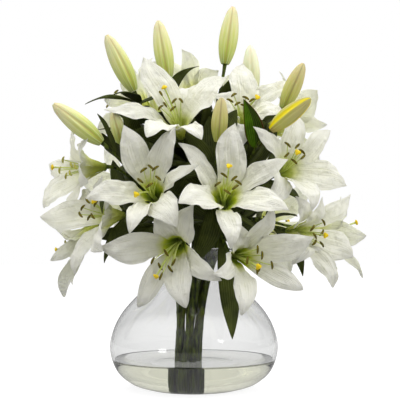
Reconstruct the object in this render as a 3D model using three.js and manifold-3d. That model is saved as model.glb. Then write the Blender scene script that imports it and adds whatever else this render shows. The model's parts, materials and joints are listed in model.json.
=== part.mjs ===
// White lilies with their buds and leaves on seven stems, standing in a round clear vase.
// Millimetres. The vase's axis is Z, it stands on Z = 0, and -Y is the front.
import * as THREE from "three";
import { mergeVertices } from "three/addons/utils/BufferGeometryUtils.js";
import Module from "manifold-3d";

// ---- driving sizes ----

const GAP = 0.3; // between neighbours that rest on each other

const VASE = {
  height: 166,
  wall: 3,
  floor: 7,
  sides: 24,
  // Outer profile from the edge of the foot to the lip, as radius and height.
  outline: [
    [54, 0],
    [74, 6.5],
    [91, 21],
    [99.5, 44],
    [97, 66],
    [85, 90],
    [63, 114],
    [43, 133],
    [38.5, 146],
    [44, 157],
    [55, 166],
  ],
};

const WATER_TOP = 35;

const STEM = {
  radius: 5.2,
  sides: 6,
  steps: 6,
  twist: 50,
  // The middle of the bundle, the radius of its ring of stems and the height, low down, at the
  // vase's shoulder and above its lip.
  foot: { middle: [-8, 0], ring: 11.6 },
  shoulder: { middle: [-5, 0], ring: 12.6, height: 95 },
  lip: { middle: [3, 0], ring: 16, height: 178 },
};
const PEDICEL = { radius: 1.9, sides: 3, steps: 3, stagger: 0.035 };

// A petal's spine leaves the base at `flare` degrees from the bloom's axis, and its tip is
// measured from the throat, the point on the axis `throat` above the base.
const BLOOM = {
  throat: 34,
  flare: 19,
  sunk: 2,
  root: 3.3,
  rise: 34,
  sweep: 34,
  tipTurn: 22,
  thickness: 0.8,
  baseHalfWidth: 1.5,
  tipHalfWidth: 0.7,
  widest: 0.6,
  swell: 2.2,
  layer: 2.5,
  receptacle: [5.8, 3.6],
};
const INNER_STATIONS = [0, 0.3, 0.56, 0.82, 1];
const OUTER_STATIONS = [0, 0.34, 0.66, 1];
const WIDE = 17;
const SLIM = 12;

const STAMEN = { filament: 0.7, length: 54, splay: 11, anther: [5.5, 1.3] };
const PISTIL = { foot: 2.6, radius: 0.85, length: 70, lift: 9, stigma: 2.4 };

const BUD = { length: 72, radius: 11.5, segments: 9, groove: 0.12, stations: [0, 0.2, 0.68, 1] };

const LEAF = {
  thickness: 0.8,
  tipHalfWidth: 0.6,
  baseHalfWidth: 1,
  halfWidth: 12,
  stations: [0, 0.34, 0.7, 1],
  lengths: [88, 64],
  lean: [58, 80],
  droop: 0.22,
  golden: 137.5,
  every: 78, // along a limb
  lowest: 172,
  reach: 118, // of a tip from the vase's axis
  tips: [166, 335], // lowest and highest
  clearance: 0.8,
};

// ---- finishes ----

const finish = (color, roughness, more = {}) =>
  new THREE.MeshStandardMaterial({ color, roughness, metalness: 0, ...more });

const GLASS = finish("#eef1ee", 0.03, { transparent: true, opacity: 0.25 });
const LIQUID = finish("#d8d8c0", 0.05, { transparent: true, opacity: 0.5 });
const PETAL_WHITE = finish("#e8e9e1", 0.62);
const STAMEN_OLIVE = finish("#6c6a18", 0.6);
const BUD_GREEN = finish("#b9bd7c", 0.6);
const STEM_GREEN = finish("#33401c", 0.55);

// ---- where everything is ----

// A bloom: throat point, the way it faces (turn from the front towards +X, lift above level)
// and six petals, inner and outer in turn, each as [clock, spread, reach, half width]. Clock is
// measured from the right, as seen from the front of the bloom, and spread from its axis. A bloom
// with a `roll` has six even petals, the first at that clock.
const BLOOMS = [
  { name: "centre", stem: 0, throat: [35, -115, 225], turn: 5, lift: 28, petals: [
    [332, 70, 76, WIDE], [23, 69, 78, SLIM], [81, 64, 79, WIDE],
    [136, 70, 76, SLIM], [212, 58, 75, WIDE], [270, 76, 77, SLIM]] },
  { name: "left", stem: 1, throat: [-48, -108, 230], turn: -14, lift: 22, petals: [
    [63, 64, 75, 14], [7, 58, 75, 9], [308, 66, 75, WIDE],
    [266, 60, 75, SLIM], [203, 60, 73, 15], [114, 67, 77, 16]] },
  { name: "upper", stem: 2, throat: [-19, -78, 314], turn: -10, lift: 40, petals: [
    [40, 76, 74, WIDE], [84, 96, 62, SLIM], [126, 56, 80, WIDE],
    [188, 74, 82, SLIM], [254, 64, 76, 15], [302, 72, 76, SLIM]] },
  { name: "low_left", stem: 1, throat: [-22, -112, 166], turn: -15, lift: -14, petals: [
    [292, 52, 73, 15], [336, 60, 75, SLIM], [60, 82, 58, 15],
    [108, 84, 47, SLIM], [174, 70, 80, WIDE], [238, 70, 77, SLIM]] },
  { name: "low_right", stem: 0, throat: [55, -112, 155], turn: 22, lift: -6, petals: [
    [21, 66, 79, WIDE], [74, 62, 70, SLIM], [112, 76, 48, SLIM],
    [192, 50, 70, SLIM], [251, 52, 72, 13], [333, 71, 76, SLIM]] },
  { name: "right", stem: 3, throat: [110, -75, 258], turn: 30, lift: 14, petals: [
    [342, 84, 74, WIDE], [37, 84, 74, SLIM], [80, 87, 73, WIDE],
    [150, 70, 74, SLIM], [225, 76, 70, 14], [262, 54, 75, SLIM]] },
  { name: "low_side_right", stem: 3, throat: [130, -60, 183], turn: 40, lift: -5, petals: [
    [339, 81, 75, WIDE], [40, 80, 74, SLIM], [88, 66, 46, 13],
    [128, 78, 54, SLIM], [230, 74, 48, 14], [300, 78, 74, SLIM]] },
  { name: "low_side_left", stem: 4, throat: [-104, -72, 203], turn: -45, lift: 0, petals: [
    [181, 62, 77, WIDE], [146, 96, 56, SLIM], [85, 84, 46, 13],
    [30, 74, 44, SLIM], [319, 55, 74, WIDE], [250, 72, 74, SLIM]] },
  { name: "side_left", stem: 4, throat: [-133, -45, 258], turn: -65, lift: -5, petals: [
    [217, 63, 77, WIDE], [278, 78, 60, SLIM], [340, 80, 56, 14],
    [30, 84, 60, SLIM], [130, 98, 66, WIDE], [176, 76, 72, SLIM]] },
  { name: "upper_right", stem: 2, throat: [57, -55, 322], turn: 8, lift: 42, petals: [
    [85, 77, 75, WIDE], [38, 81, 75, SLIM], [334, 66, 54, 15],
    [262, 96, 50, SLIM], [196, 70, 44, 14], [142, 84, 46, SLIM]] },
  { name: "far_right", stem: 5, throat: [112, 30, 320], turn: 105, lift: 22, petals: [
    [40, 68, 76, WIDE], [100, 74, 66, SLIM], [160, 64, 74, WIDE],
    [205, 52, 58, SLIM], [270, 68, 74, WIDE], [330, 64, 74, SLIM]] },
  { name: "far_top_left", stem: 6, throat: [-74, 38, 346], turn: -120, lift: 30, petals: [
    [50, 82, 62, 14], [110, 70, 66, SLIM], [170, 66, 74, WIDE],
    [230, 66, 74, SLIM], [290, 74, 74, WIDE], [350, 68, 48, SLIM]] },
  { name: "far_low_left", stem: 4, throat: [-138, 4, 174], turn: -95, lift: -38, petals: [
    [300, 45, 72, 11], [0, 35, 44, 8], [60, 70, 36, 10],
    [120, 72, 50, SLIM], [180, 62, 66, 13], [240, 42, 58, 9]] },
  { name: "far_low_right", stem: 3, throat: [158, 24, 186], turn: 100, lift: -8, petals: [
    [0, 68, 76, WIDE], [60, 66, 62, SLIM], [120, 61, 46, 14],
    [180, 50, 62, 14], [240, 48, 76, 9], [300, 64, 74, SLIM]] },
  { name: "back_top", stem: 6, throat: [4, 44, 366], turn: 175, lift: 62, petals: [
    [22, 68, 66, WIDE], [74, 70, 60, SLIM], [132, 80, 44, 15],
    [192, 68, 74, SLIM], [262, 66, 75, WIDE], [318, 70, 74, SLIM]] },
  { name: "back_top_right", stem: 5, throat: [62, 92, 310], turn: 154, lift: 32, roll: 0 },
  { name: "back_left", stem: 6, throat: [-88, 96, 240], turn: -138, lift: 5, roll: 15 },
  { name: "back_middle", stem: 5, throat: [4, 122, 244], turn: 178, lift: 10, roll: 30 },
  { name: "back_low_right", stem: 5, throat: [96, 98, 196], turn: 136, lift: -6, roll: 10 },
];

// A bud: its base, its tip and the stem that it grows from.
const BUDS = [
  { name: "bud_1", stem: 6, base: [-72, -10, 354], tip: [-104, -22, 419] },
  { name: "bud_2", stem: 2, base: [-31, -12, 368], tip: [-43, -14, 438] },
  { name: "bud_3", stem: 2, base: [37, -12, 386], tip: [47, -10, 456] },
  { name: "bud_4", stem: 5, base: [72, 30, 354], tip: [70, 36, 419] },
  { name: "bud_5", stem: 5, base: [104, -42, 328], tip: [127, -48, 380] },
  { name: "bud_6", stem: 3, base: [86, -95, 297], tip: [127, -118, 328] },
  { name: "bud_7", stem: 0, base: [27, -96, 283], tip: [31, -104, 331] },
  { name: "bud_8", stem: 4, base: [-103, -82, 284], tip: [-155, -98, 325] },
  { name: "bud_9", stem: 1, base: [-82, -40, 284], tip: [-94, -44, 324] },
  { name: "bud_10", stem: 6, base: [-40, 98, 326], tip: [-56, 120, 386] },
];

// Leaves that the front shows: the point of its stem's limbs that each grows nearest to, the
// point that its spine bends towards, its tip and its half width.
const LEAVES = [
  { stem: 0, near: [32, -60, 184], over: [43, -88, 117], tip: [42, -112, 68], half: 12 },
  { stem: 3, near: [78, -62, 286], over: [69, -95, 310], tip: [55, -106, 329], half: 11 },
  { stem: 0, near: [21, -50, 215], over: [27, -78, 179], tip: [-5, -82, 145], half: 13 },
  { stem: 3, near: [53, -55, 260], over: [77, -70, 268], tip: [96, -60, 305], half: 14 },
  { stem: 2, near: [14, -30, 279], over: [19, -50, 302], tip: [14, -60, 334], half: 13 },
  { stem: 2, near: [-26, -20, 344], over: [-26, -20, 377], tip: [6, -20, 382], half: 7 },
  { stem: 6, near: [-53, -10, 343], over: [-73, -30, 357], tip: [-93, -50, 343], half: 9 },
  { stem: 1, near: [-49, -40, 292], over: [-61, -60, 308], tip: [-82, -70, 321], half: 13 },
  { stem: 1, near: [-76, -50, 263], over: [-86, -70, 274], tip: [-103, -80, 295], half: 12 },
  { stem: 4, near: [-61, -60, 227], over: [-108, -95, 245], tip: [-98, -118, 203], half: 6 },
  { stem: 4, near: [-84, -62, 278], over: [-94, -92, 303], tip: [-107, -92, 315], half: 3.5 },
  { stem: 1, near: [-52, -50, 180], over: [-100, -60, 189], tip: [-101, -66, 149], half: 10 },
  { stem: 0, near: [53, -50, 215], over: [66, -70, 207], tip: [77, -75, 175], half: 14 },
  { stem: 3, near: [79, -40, 250], over: [101, -60, 241], tip: [120, -75, 220], half: 11 },
  { stem: 3, near: [79, -40, 203], over: [99, -55, 212], tip: [118, -60, 202], half: 9 },
  { stem: 3, near: [87, -20, 175], over: [125, -22, 178], tip: [127, -32, 133], half: 9 },
  { stem: 1, near: [3, -40, 215], over: [-4, -60, 230], tip: [-29, -70, 225], half: 13 },
  { stem: 2, near: [41, -10, 333], over: [38, -30, 349], tip: [44, -30, 366], half: 8 },
];

// Each stem's bearing in the ring at the vase's neck, and its top, where its pedicels part. The
// one at MIDDLE stands inside the ring.
const MIDDLE = 2;
const STEMS = [
  { name: "stem_front", bearing: 295, head: [22, -38, 212] },
  { name: "stem_front_left", bearing: 235, head: [-24, -36, 214] },
  { name: "stem_top", bearing: 0, head: [8, -2, 262] },
  { name: "stem_right", bearing: 350, head: [54, -12, 206] },
  { name: "stem_left", bearing: 175, head: [-50, -6, 208] },
  { name: "stem_back_right", bearing: 50, head: [42, 32, 224] },
  { name: "stem_back_left", bearing: 115, head: [-24, 34, 226] },
];

// ---- solids and meshes ----

const wasm = await Module();
wasm.setup();

const vec = (a) => new THREE.Vector3(...a);
const rad = THREE.MathUtils.degToRad;

// A closed geometry as a solid.
function solid(geometry) {
  const bare = geometry.index ? geometry.toNonIndexed() : geometry.clone();
  bare.deleteAttribute("normal");
  bare.deleteAttribute("uv");
  const merged = mergeVertices(bare, 1e-4);
  return new wasm.Manifold(
    new wasm.Mesh({
      numProp: 3,
      vertProperties: new Float32Array(merged.attributes.position.array),
      triVerts: new Uint32Array(merged.index.array),
    }),
  );
}

// A named mesh of a solid.
function node(name, body, material) {
  const made = body.getMesh();
  const geometry = new THREE.BufferGeometry();
  const positions = new Float32Array(made.numVert * 3);
  for (let i = 0; i < made.numVert; i++) {
    positions.set(made.vertProperties.subarray(i * made.numProp, i * made.numProp + 3), i * 3);
  }
  geometry.setAttribute("position", new THREE.BufferAttribute(positions, 3));
  geometry.setIndex(new THREE.BufferAttribute(new Uint32Array(made.triVerts), 1));
  geometry.computeVertexNormals();
  const mesh = new THREE.Mesh(geometry, material);
  mesh.name = name;
  return mesh;
}

const join = (pieces) => pieces.slice(1).reduce((all, piece) => all.add(piece), pieces[0]);

// A regular polygon, for the section of a tube.
function polygon(radius, sides) {
  const shape = new THREE.Shape();
  for (let i = 0; i < sides; i++) {
    const angle = (2 * Math.PI * i) / sides;
    shape[i ? "lineTo" : "moveTo"](radius * Math.cos(angle), radius * Math.sin(angle));
  }
  shape.closePath();
  return shape;
}

function tube(curve, radius, sides, steps) {
  return solid(
    new THREE.ExtrudeGeometry(polygon(radius, sides), { extrudePath: curve, steps, bevelEnabled: false }),
  );
}

// A solid through rings of as many points each, right-handed about the way they run, and closed
// by fans at both ends. From column `flip` on, each face is split along its other diagonal.
function loft(rings, flip = Infinity) {
  const sides = rings[0].length;
  const points = rings.flat();
  const index = [];
  for (let r = 0; r + 1 < rings.length; r++) {
    for (let i = 0; i < sides; i++) {
      const a = r * sides + i;
      const b = r * sides + ((i + 1) % sides);
      const [c, d] = [b + sides, a + sides];
      index.push(...(i < flip ? [a, b, c, a, c, d] : [a, b, d, b, c, d]));
    }
  }
  const last = (rings.length - 1) * sides;
  for (let i = 1; i + 1 < sides; i++) {
    index.push(0, i + 1, i);
    index.push(last, last + i, last + i + 1);
  }
  const geometry = new THREE.BufferGeometry().setFromPoints(points);
  geometry.setIndex(index);
  return solid(geometry);
}

// A thin blade along a curve. `side` lies across it, and halfWidth(s) and cup(s) give its half
// width and how far its two edges stand up from its middle. A flat blade has no middle line.
function blade({ curve, side, stations, thickness, halfWidth, cup }) {
  const columns = cup ? [-1, 0, 1] : [-1, 1];
  const rings = stations.map((s) => {
    const up = curve.getTangent(s).cross(side).normalize();
    const at = (column, half) =>
      curve
        .getPoint(s)
        .addScaledVector(side, column * halfWidth(s))
        .addScaledVector(up, (column ? halfWidth(s) * (cup?.(s) ?? 0) : 0) + half);
    return [
      ...columns.map((column) => at(column, -thickness / 2)),
      ...columns.toReversed().map((column) => at(column, thickness / 2)),
    ];
  });
  return loft(rings, columns.length);
}

// ---- vase and water ----

function vaseOutline() {
  const path = new THREE.SplineCurve(VASE.outline.map(([r, z]) => new THREE.Vector2(r, z)));
  return path.getPoints(VASE.outline.length);
}

// The outline moved in by a distance, no lower than `lowest`.
function inset(outline, distance, lowest) {
  const moved = outline.map((point, i) => {
    const before = outline[Math.max(i - 1, 0)];
    const after = outline[Math.min(i + 1, outline.length - 1)];
    const along = after.clone().sub(before).normalize();
    return new THREE.Vector2(point.x - along.y * distance, point.y + along.x * distance);
  });
  return moved.filter((point) => point.y > lowest + 1);
}

function lathe(profile) {
  const geometry = new THREE.LatheGeometry(profile, VASE.sides);
  geometry.rotateX(Math.PI / 2);
  return solid(geometry);
}

// The radius of an inset outline at a height on its lower half.
function radiusAt(inner, height) {
  const above = inner.findIndex((point) => point.y > height);
  const a = inner[Math.max(above - 1, 0)];
  const b = inner[Math.max(above, 1)];
  return a.x + ((b.x - a.x) * (height - a.y)) / (b.y - a.y);
}

function vaseSolid() {
  const outer = vaseOutline();
  const inner = inset(outer, VASE.wall, VASE.floor).filter((point) => point.y < VASE.height - 1);
  const lip = new THREE.Vector2(outer.at(-1).x - VASE.wall * 0.8, VASE.height);
  const floorEdge = new THREE.Vector2(radiusAt(inner, VASE.floor), VASE.floor);
  return lathe([
    new THREE.Vector2(0, 0),
    ...outer,
    lip,
    ...inner.reverse(),
    floorEdge,
    new THREE.Vector2(0, VASE.floor),
  ]);
}

function waterSolid(holes) {
  const inner = inset(vaseOutline(), VASE.wall + GAP, VASE.floor);
  const bottom = VASE.floor + GAP;
  const wall = inner.filter((point) => point.y > bottom + 1 && point.y < WATER_TOP - 1);
  const body = lathe([
    new THREE.Vector2(0, bottom),
    new THREE.Vector2(radiusAt(inner, bottom) - GAP, bottom),
    ...wall,
    new THREE.Vector2(radiusAt(inner, WATER_TOP), WATER_TOP),
    new THREE.Vector2(0, WATER_TOP),
  ]);
  return body.subtract(join(holes));
}

// ---- blooms ----

// The directions of a bloom: its axis, its right hand and its upper side, as seen from its front.
function facing(turn, lift) {
  const [t, l] = [rad(turn), rad(lift)];
  const axis = new THREE.Vector3(Math.sin(t) * Math.cos(l), -Math.cos(t) * Math.cos(l), Math.sin(l));
  const right = new THREE.Vector3(Math.cos(t), Math.sin(t), 0);
  return { axis, right, upper: axis.clone().cross(right) };
}

const baseOf = (bloom) =>
  vec(bloom.throat).addScaledVector(facing(bloom.turn, bloom.lift).axis, -BLOOM.throat);

// Six even petals, wide and slim in turn, for a bloom whose own aren't listed.
function evenPetals(roll) {
  return Array.from({ length: 6 }, (_, k) => [
    roll + 60 * k,
    68 + 7 * Math.sin(2.4 * k + roll),
    75 + 3 * Math.cos(1.7 * k + roll),
    k % 2 ? SLIM : WIDE,
  ]);
}

// A petal's spine: a cubic curve in the plane of the bloom's axis and the petal's own direction.
function petalSpine(bloom, [clock, spread, reach], inner) {
  const { axis, right, upper } = facing(bloom.turn, bloom.lift);
  const out = right.clone().multiplyScalar(Math.cos(rad(clock)));
  out.addScaledVector(upper, Math.sin(rad(clock)));
  const towards = (angle) =>
    axis.clone().multiplyScalar(Math.cos(rad(angle))).addScaledVector(out, Math.sin(rad(angle)));
  const root = baseOf(bloom).addScaledVector(axis, BLOOM.sunk).addScaledVector(out, BLOOM.root);
  const tip = vec(bloom.throat).addScaledVector(towards(spread), reach);
  return {
    side: axis.clone().cross(out),
    curve: new THREE.CubicBezierCurve3(
      root,
      root.clone().addScaledVector(towards(BLOOM.flare + (inner ? -1 : 1) * BLOOM.layer), BLOOM.rise),
      tip.clone().addScaledVector(towards(spread + BLOOM.tipTurn), -BLOOM.sweep),
      tip,
    ),
  };
}

// A petal's half width: it swells from the base to its widest and tapers to a point.
function petalHalfWidth(widest) {
  return (s) => {
    if (s < BLOOM.widest) {
      const swell = Math.sin((Math.PI / 2) * (s / BLOOM.widest)) ** BLOOM.swell;
      return BLOOM.baseHalfWidth + (widest - BLOOM.baseHalfWidth) * swell;
    }
    const taper = Math.cos(((Math.PI / 2) * (s - BLOOM.widest)) / (1 - BLOOM.widest)) ** 0.85;
    return BLOOM.tipHalfWidth + (widest - BLOOM.tipHalfWidth) * taper;
  };
}

// A petal is a trough at the throat and folds back a little past its middle.
const petalCup = (s) => 0.42 * Math.cos(Math.PI * Math.min(s / 1.25, 1));

function bloomSolid(bloom) {
  const petals = (bloom.petals ?? evenPetals(bloom.roll)).map((petal, k) => {
    const { curve, side } = petalSpine(bloom, petal, k % 2 === 0);
    const halfWidth = petalHalfWidth(petal[3]);
    const stations = k % 2 || Math.abs(bloom.turn) > 90 ? OUTER_STATIONS : INNER_STATIONS;
    const cup = k % 2 ? undefined : petalCup;
    return blade({ curve, side, stations, halfWidth, cup, thickness: BLOOM.thickness });
  });
  const { axis } = facing(bloom.turn, bloom.lift);
  const base = baseOf(bloom);
  return join([prism(base, axis, ...BLOOM.receptacle), ...petals]);
}

// A six-sided prism that stands on a point along a direction.
function prism(from, along, radius, height) {
  const geometry = new THREE.CylinderGeometry(radius, radius, height, 6);
  const turn = new THREE.Quaternion().setFromUnitVectors(new THREE.Vector3(0, 1, 0), along);
  geometry.translate(0, height / 2, 0).applyQuaternion(turn).translate(from.x, from.y, from.z);
  return solid(geometry);
}

// A three-sided rod through stations, each a middle, a half length along `cross` and a half
// breadth across it. A long station on the end of a thin rod is its crossbar.
function rod(stations, along, cross) {
  const breadth = along.clone().cross(cross).normalize();
  return loft(
    stations.map(([middle, half, thin]) =>
      [90, 210, 330].map((angle) =>
        middle
          .clone()
          .addScaledVector(cross, half * Math.cos(rad(angle)))
          .addScaledVector(breadth, thin * Math.sin(rad(angle))),
      ),
    ),
  );
}

// A pistil that stands on the receptacle, with six stamens that grow from its swollen foot.
function stamenSolid(bloom) {
  const { axis, right, upper } = facing(bloom.turn, bloom.lift);
  const foot = baseOf(bloom).addScaledVector(axis, BLOOM.receptacle[1] + GAP);
  const at = (distance, lift) =>
    foot.clone().addScaledVector(axis, distance).addScaledVector(upper, lift * PISTIL.lift);
  const pistil = [
    [at(0, 0), PISTIL.foot, PISTIL.foot],
    [at(PISTIL.length * 0.6, 0.25), PISTIL.radius, PISTIL.radius],
    [at(PISTIL.length - 3, 1), PISTIL.radius, PISTIL.radius],
    [at(PISTIL.length, 1.1), PISTIL.stigma, PISTIL.stigma],
  ];
  const pieces = [rod(pistil, axis, right)];
  const [half, thin] = STAMEN.anther;
  for (let k = 0; k < 6; k++) {
    const angle = rad(60 * k + 30 + (bloom.petals?.[0][0] ?? bloom.roll));
    const out = right.clone().multiplyScalar(Math.cos(angle)).addScaledVector(upper, Math.sin(angle));
    const lean = rad(STAMEN.splay + 2 * Math.sin(5 * k + bloom.turn));
    const length = STAMEN.length + 4 * Math.cos(3 * k + bloom.turn);
    const along = axis.clone().multiplyScalar(Math.cos(lean)).addScaledVector(out, Math.sin(lean));
    const cross = axis.clone().cross(out).applyAxisAngle(along, 0.9 * Math.sin(4 * k + bloom.lift));
    const on = (distance) => foot.clone().addScaledVector(axis, 1).addScaledVector(along, distance);
    const stations = [
      [on(0), STAMEN.filament, STAMEN.filament],
      [on(length), STAMEN.filament, STAMEN.filament],
      [on(length + 2.2), half, thin],
    ];
    pieces.push(rod(stations, along, cross));
  }
  return join(pieces);
}

// ---- buds ----

// A bud's radius from its base at 0 to its tip at 1.
const budRadius = (s) => BUD.radius * Math.sin(Math.PI * Math.min(0.1 + 0.82 * s ** 0.9, 1)) ** 0.75;

function budSolid(bud) {
  const base = vec(bud.base);
  const along = vec(bud.tip).sub(base);
  const scale = along.length() / BUD.length;
  const axis = along.clone().normalize();
  const right = new THREE.Vector3(0, 0, 1).cross(axis).normalize();
  const upper = axis.clone().cross(right);
  const rings = BUD.stations.map((s) =>
    Array.from({ length: BUD.segments }, (_, i) => {
      const angle = (2 * Math.PI * i) / BUD.segments;
      const ridge = i % 3 ? 1 : 1 - BUD.groove;
      const radius = (s === 1 ? 0.8 : budRadius(s)) * ridge * (0.4 + 0.6 * scale);
      return base
        .clone()
        .addScaledVector(along, s)
        .addScaledVector(right, radius * Math.cos(angle))
        .addScaledVector(upper, radius * Math.sin(angle));
    }),
  );
  return loft(rings);
}

// ---- stems and leaves ----

function stemCurve(index) {
  const turned = ({ middle: [x, y], ring }, turn, height) => {
    const angle = rad(STEMS[index].bearing + turn);
    const out = index === MIDDLE ? 0 : ring;
    return new THREE.Vector3(x + out * Math.cos(angle), y + out * Math.sin(angle), height);
  };
  return new THREE.CubicBezierCurve3(
    turned(STEM.foot, -STEM.twist, VASE.floor + 3 * GAP),
    turned(STEM.shoulder, -STEM.twist / 3, STEM.shoulder.height),
    turned(STEM.lip, 0, STEM.lip.height),
    vec(STEMS[index].head),
  );
}

// A pedicel from near a stem's head to the base of a bloom or a bud, which it meets along its
// axis. The pedicels leave the stem one under another.
function pedicelCurve(stem, k, base, axis) {
  const head = stem.getPoint(1 - PEDICEL.stagger * (k + 1));
  const end = base.clone().addScaledVector(axis, -GAP);
  const length = end.distanceTo(head);
  const out = end.clone().sub(head).setZ(0).multiplyScalar(0.25);
  return new THREE.CubicBezierCurve3(
    head,
    head.clone().add(out).add(new THREE.Vector3(0, 0, length * 0.25)),
    end.clone().addScaledVector(axis, -length * 0.3),
    end,
  );
}

// The stem and its pedicels, as curves.
function limbs(index) {
  const stem = stemCurve(index);
  const blooms = BLOOMS.filter((bloom) => bloom.stem === index);
  const buds = BUDS.filter((bud) => bud.stem === index);
  const ends = [
    ...buds.map((bud) => [vec(bud.base), vec(bud.tip).sub(vec(bud.base)).normalize()]),
    ...blooms.map((bloom) => [baseOf(bloom), facing(bloom.turn, bloom.lift).axis]),
  ];
  return [stem, ...ends.map(([base, axis], k) => pedicelCurve(stem, k, base, axis))];
}

function limbSolid(curve, k) {
  const { radius, sides, steps } = k ? PEDICEL : STEM;
  return tube(curve, radius, sides, steps);
}

function leafHalfWidth(widest) {
  return (s) => {
    const low = LEAF.baseHalfWidth * (1 - s) + LEAF.tipHalfWidth * s;
    return low + (widest - low) * Math.sin(Math.PI * s ** 0.9) ** 0.9;
  };
}

function leafBlade(root, over, tip, widest) {
  const curve = new THREE.QuadraticBezierCurve3(root, over, tip);
  const side = over.clone().sub(root).cross(new THREE.Vector3(0, 0, 1)).normalize();
  return blade({
    curve,
    side,
    stations: LEAF.stations,
    halfWidth: leafHalfWidth(widest),
    thickness: LEAF.thickness,
  });
}

// The point of some limbs that lies nearest to a point.
function nearestOn(curves, point) {
  const points = curves.flatMap((curve, i) => {
    const { steps } = i ? PEDICEL : STEM;
    return Array.from({ length: 41 }, (_, k) => onLimb(curve, steps, k / 40).root);
  });
  return points.reduce((best, p) => (p.distanceTo(point) < best.distanceTo(point) ? p : best));
}

// The point of a limb's own solid, which is straight between its steps, and its direction there.
function onLimb(limb, steps, at) {
  const points = limb.getSpacedPoints(steps);
  const k = Math.min(Math.floor(at * steps), steps - 1);
  const along = points[k + 1].clone().sub(points[k]);
  return { root: points[k].clone().addScaledVector(along, at * steps - k), along: along.normalize() };
}

// A leaf that grows from a limb: it turns round the limb and leans out from it, and droops. None
// grows where its tip would leave the heart of the bouquet.
function limbLeaf({ root, along: direction }, turn, lean, length) {
  const along = direction.clone();
  const across = along.clone().cross(new THREE.Vector3(0, 0.3, 1)).normalize();
  const out = across.applyAxisAngle(along, rad(turn));
  const towards = along.multiplyScalar(Math.cos(rad(lean))).addScaledVector(out, Math.sin(rad(lean)));
  const over = root.clone().addScaledVector(towards, length * 0.5);
  const tip = root.clone().addScaledVector(towards, length);
  tip.z -= length * LEAF.droop;
  const [low, high] = LEAF.tips;
  if (Math.hypot(tip.x, tip.y) > LEAF.reach || tip.z < low || tip.z > high) return undefined;
  return leafBlade(root, over, tip, LEAF.halfWidth * (0.6 + (0.4 * length) / LEAF.lengths[0]));
}

const apart = (a, b) => {
  const [p, q] = [a.boundingBox(), b.boundingBox()];
  const far = p.min.some((v, i) => v > q.max[i] + 1) || q.min.some((v, i) => v > p.max[i] + 1);
  return far || a.minGap(b, LEAF.clearance) >= LEAF.clearance;
};

// The leaves of every stem. Each is tried at several turns round its limb until it clears all
// that stands there, and is left out where none does.
function growLeaves(stems, standing) {
  const leaves = stems.map(() => []);
  const add = (index, leaf) => {
    leaves[index].push(leaf);
    standing.push(leaf);
  };
  for (const { stem, near, over, tip, half } of LEAVES) {
    add(stem, leafBlade(nearestOn(stems[stem], vec(near)), vec(over), vec(tip), half));
  }
  stems.forEach((curves, index) => {
    const others = stems.flatMap((list, i) => (i === index ? [] : list.map(limbSolid)));
    let count = 0;
    for (const [i, limb] of curves.entries()) {
      const leafCount = Math.round(limb.getLength() / LEAF.every);
      for (let k = 1; k <= leafCount; k++) {
        const seat = onLimb(limb, (i ? PEDICEL : STEM).steps, (k - 0.4) / leafCount);
        if (seat.root.z < LEAF.lowest) continue;
        count++;
        const tries = LEAF.lengths.flatMap((length) =>
          LEAF.lean.flatMap((lean) =>
            Array.from({ length: 8 }, (_, j) => () =>
              limbLeaf(seat, LEAF.golden * count + 45 * j, lean, length)),
          ),
        );
        for (const grow of tries) {
          const leaf = grow();
          if (leaf && [...standing, ...others].every((body) => apart(leaf, body))) {
            add(index, leaf);
            break;
          }
        }
      }
    }
  });
  return leaves;
}

// ---- the assembly ----

const lilies = new THREE.Group();
lilies.name = "lilies_in_vase";

const vase = vaseSolid();
const flowers = BLOOMS.map((bloom) => [bloom.name, bloomSolid(bloom), stamenSolid(bloom)]);
const buds = BUDS.map((bud) => [bud.name, budSolid(bud)]);
const stems = STEMS.map((_, i) => limbs(i));
const leaves = growLeaves(stems, [
  vase,
  ...flowers.flatMap(([, petals, stamens]) => [petals, stamens]),
  ...buds.map(([, body]) => body),
]);
const holes = stems.map(([stem]) => {
  const along = stem.getTangent(0.03);
  const from = stem.getPoint(0).addScaledVector(along, -4);
  return prism(from, along, STEM.radius + 4 * GAP, WATER_TOP);
});

lilies.add(node("vase", vase, GLASS));
lilies.add(node("water", waterSolid(holes), LIQUID));
STEMS.forEach(({ name }, i) => {
  const pieces = [...stems[i].map(limbSolid), ...leaves[i]];
  lilies.add(node(name, join(pieces), STEM_GREEN));
});
for (const [name, petals, stamens] of flowers) {
  lilies.add(node("bloom_" + name, petals, PETAL_WHITE));
  lilies.add(node("stamens_" + name, stamens, STAMEN_OLIVE));
}
for (const [name, body] of buds) {
  lilies.add(node(name, body, BUD_GREEN));
}

export default lilies;
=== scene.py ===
"""White lilies, their buds and dark leaves in a round clear vase, dressed around the solids.

Lengths are in millimetres until a mesh is written. The vase's axis is Z, it stands on Z = 0 and
-Y is the front.
"""

import json
import logging
import math
from collections.abc import Callable, Sequence
from dataclasses import dataclass, field, replace
from enum import Enum
from functools import partial
from itertools import product

import bpy
import numpy as np
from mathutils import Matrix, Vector
from mathutils.bvhtree import BVHTree

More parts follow.
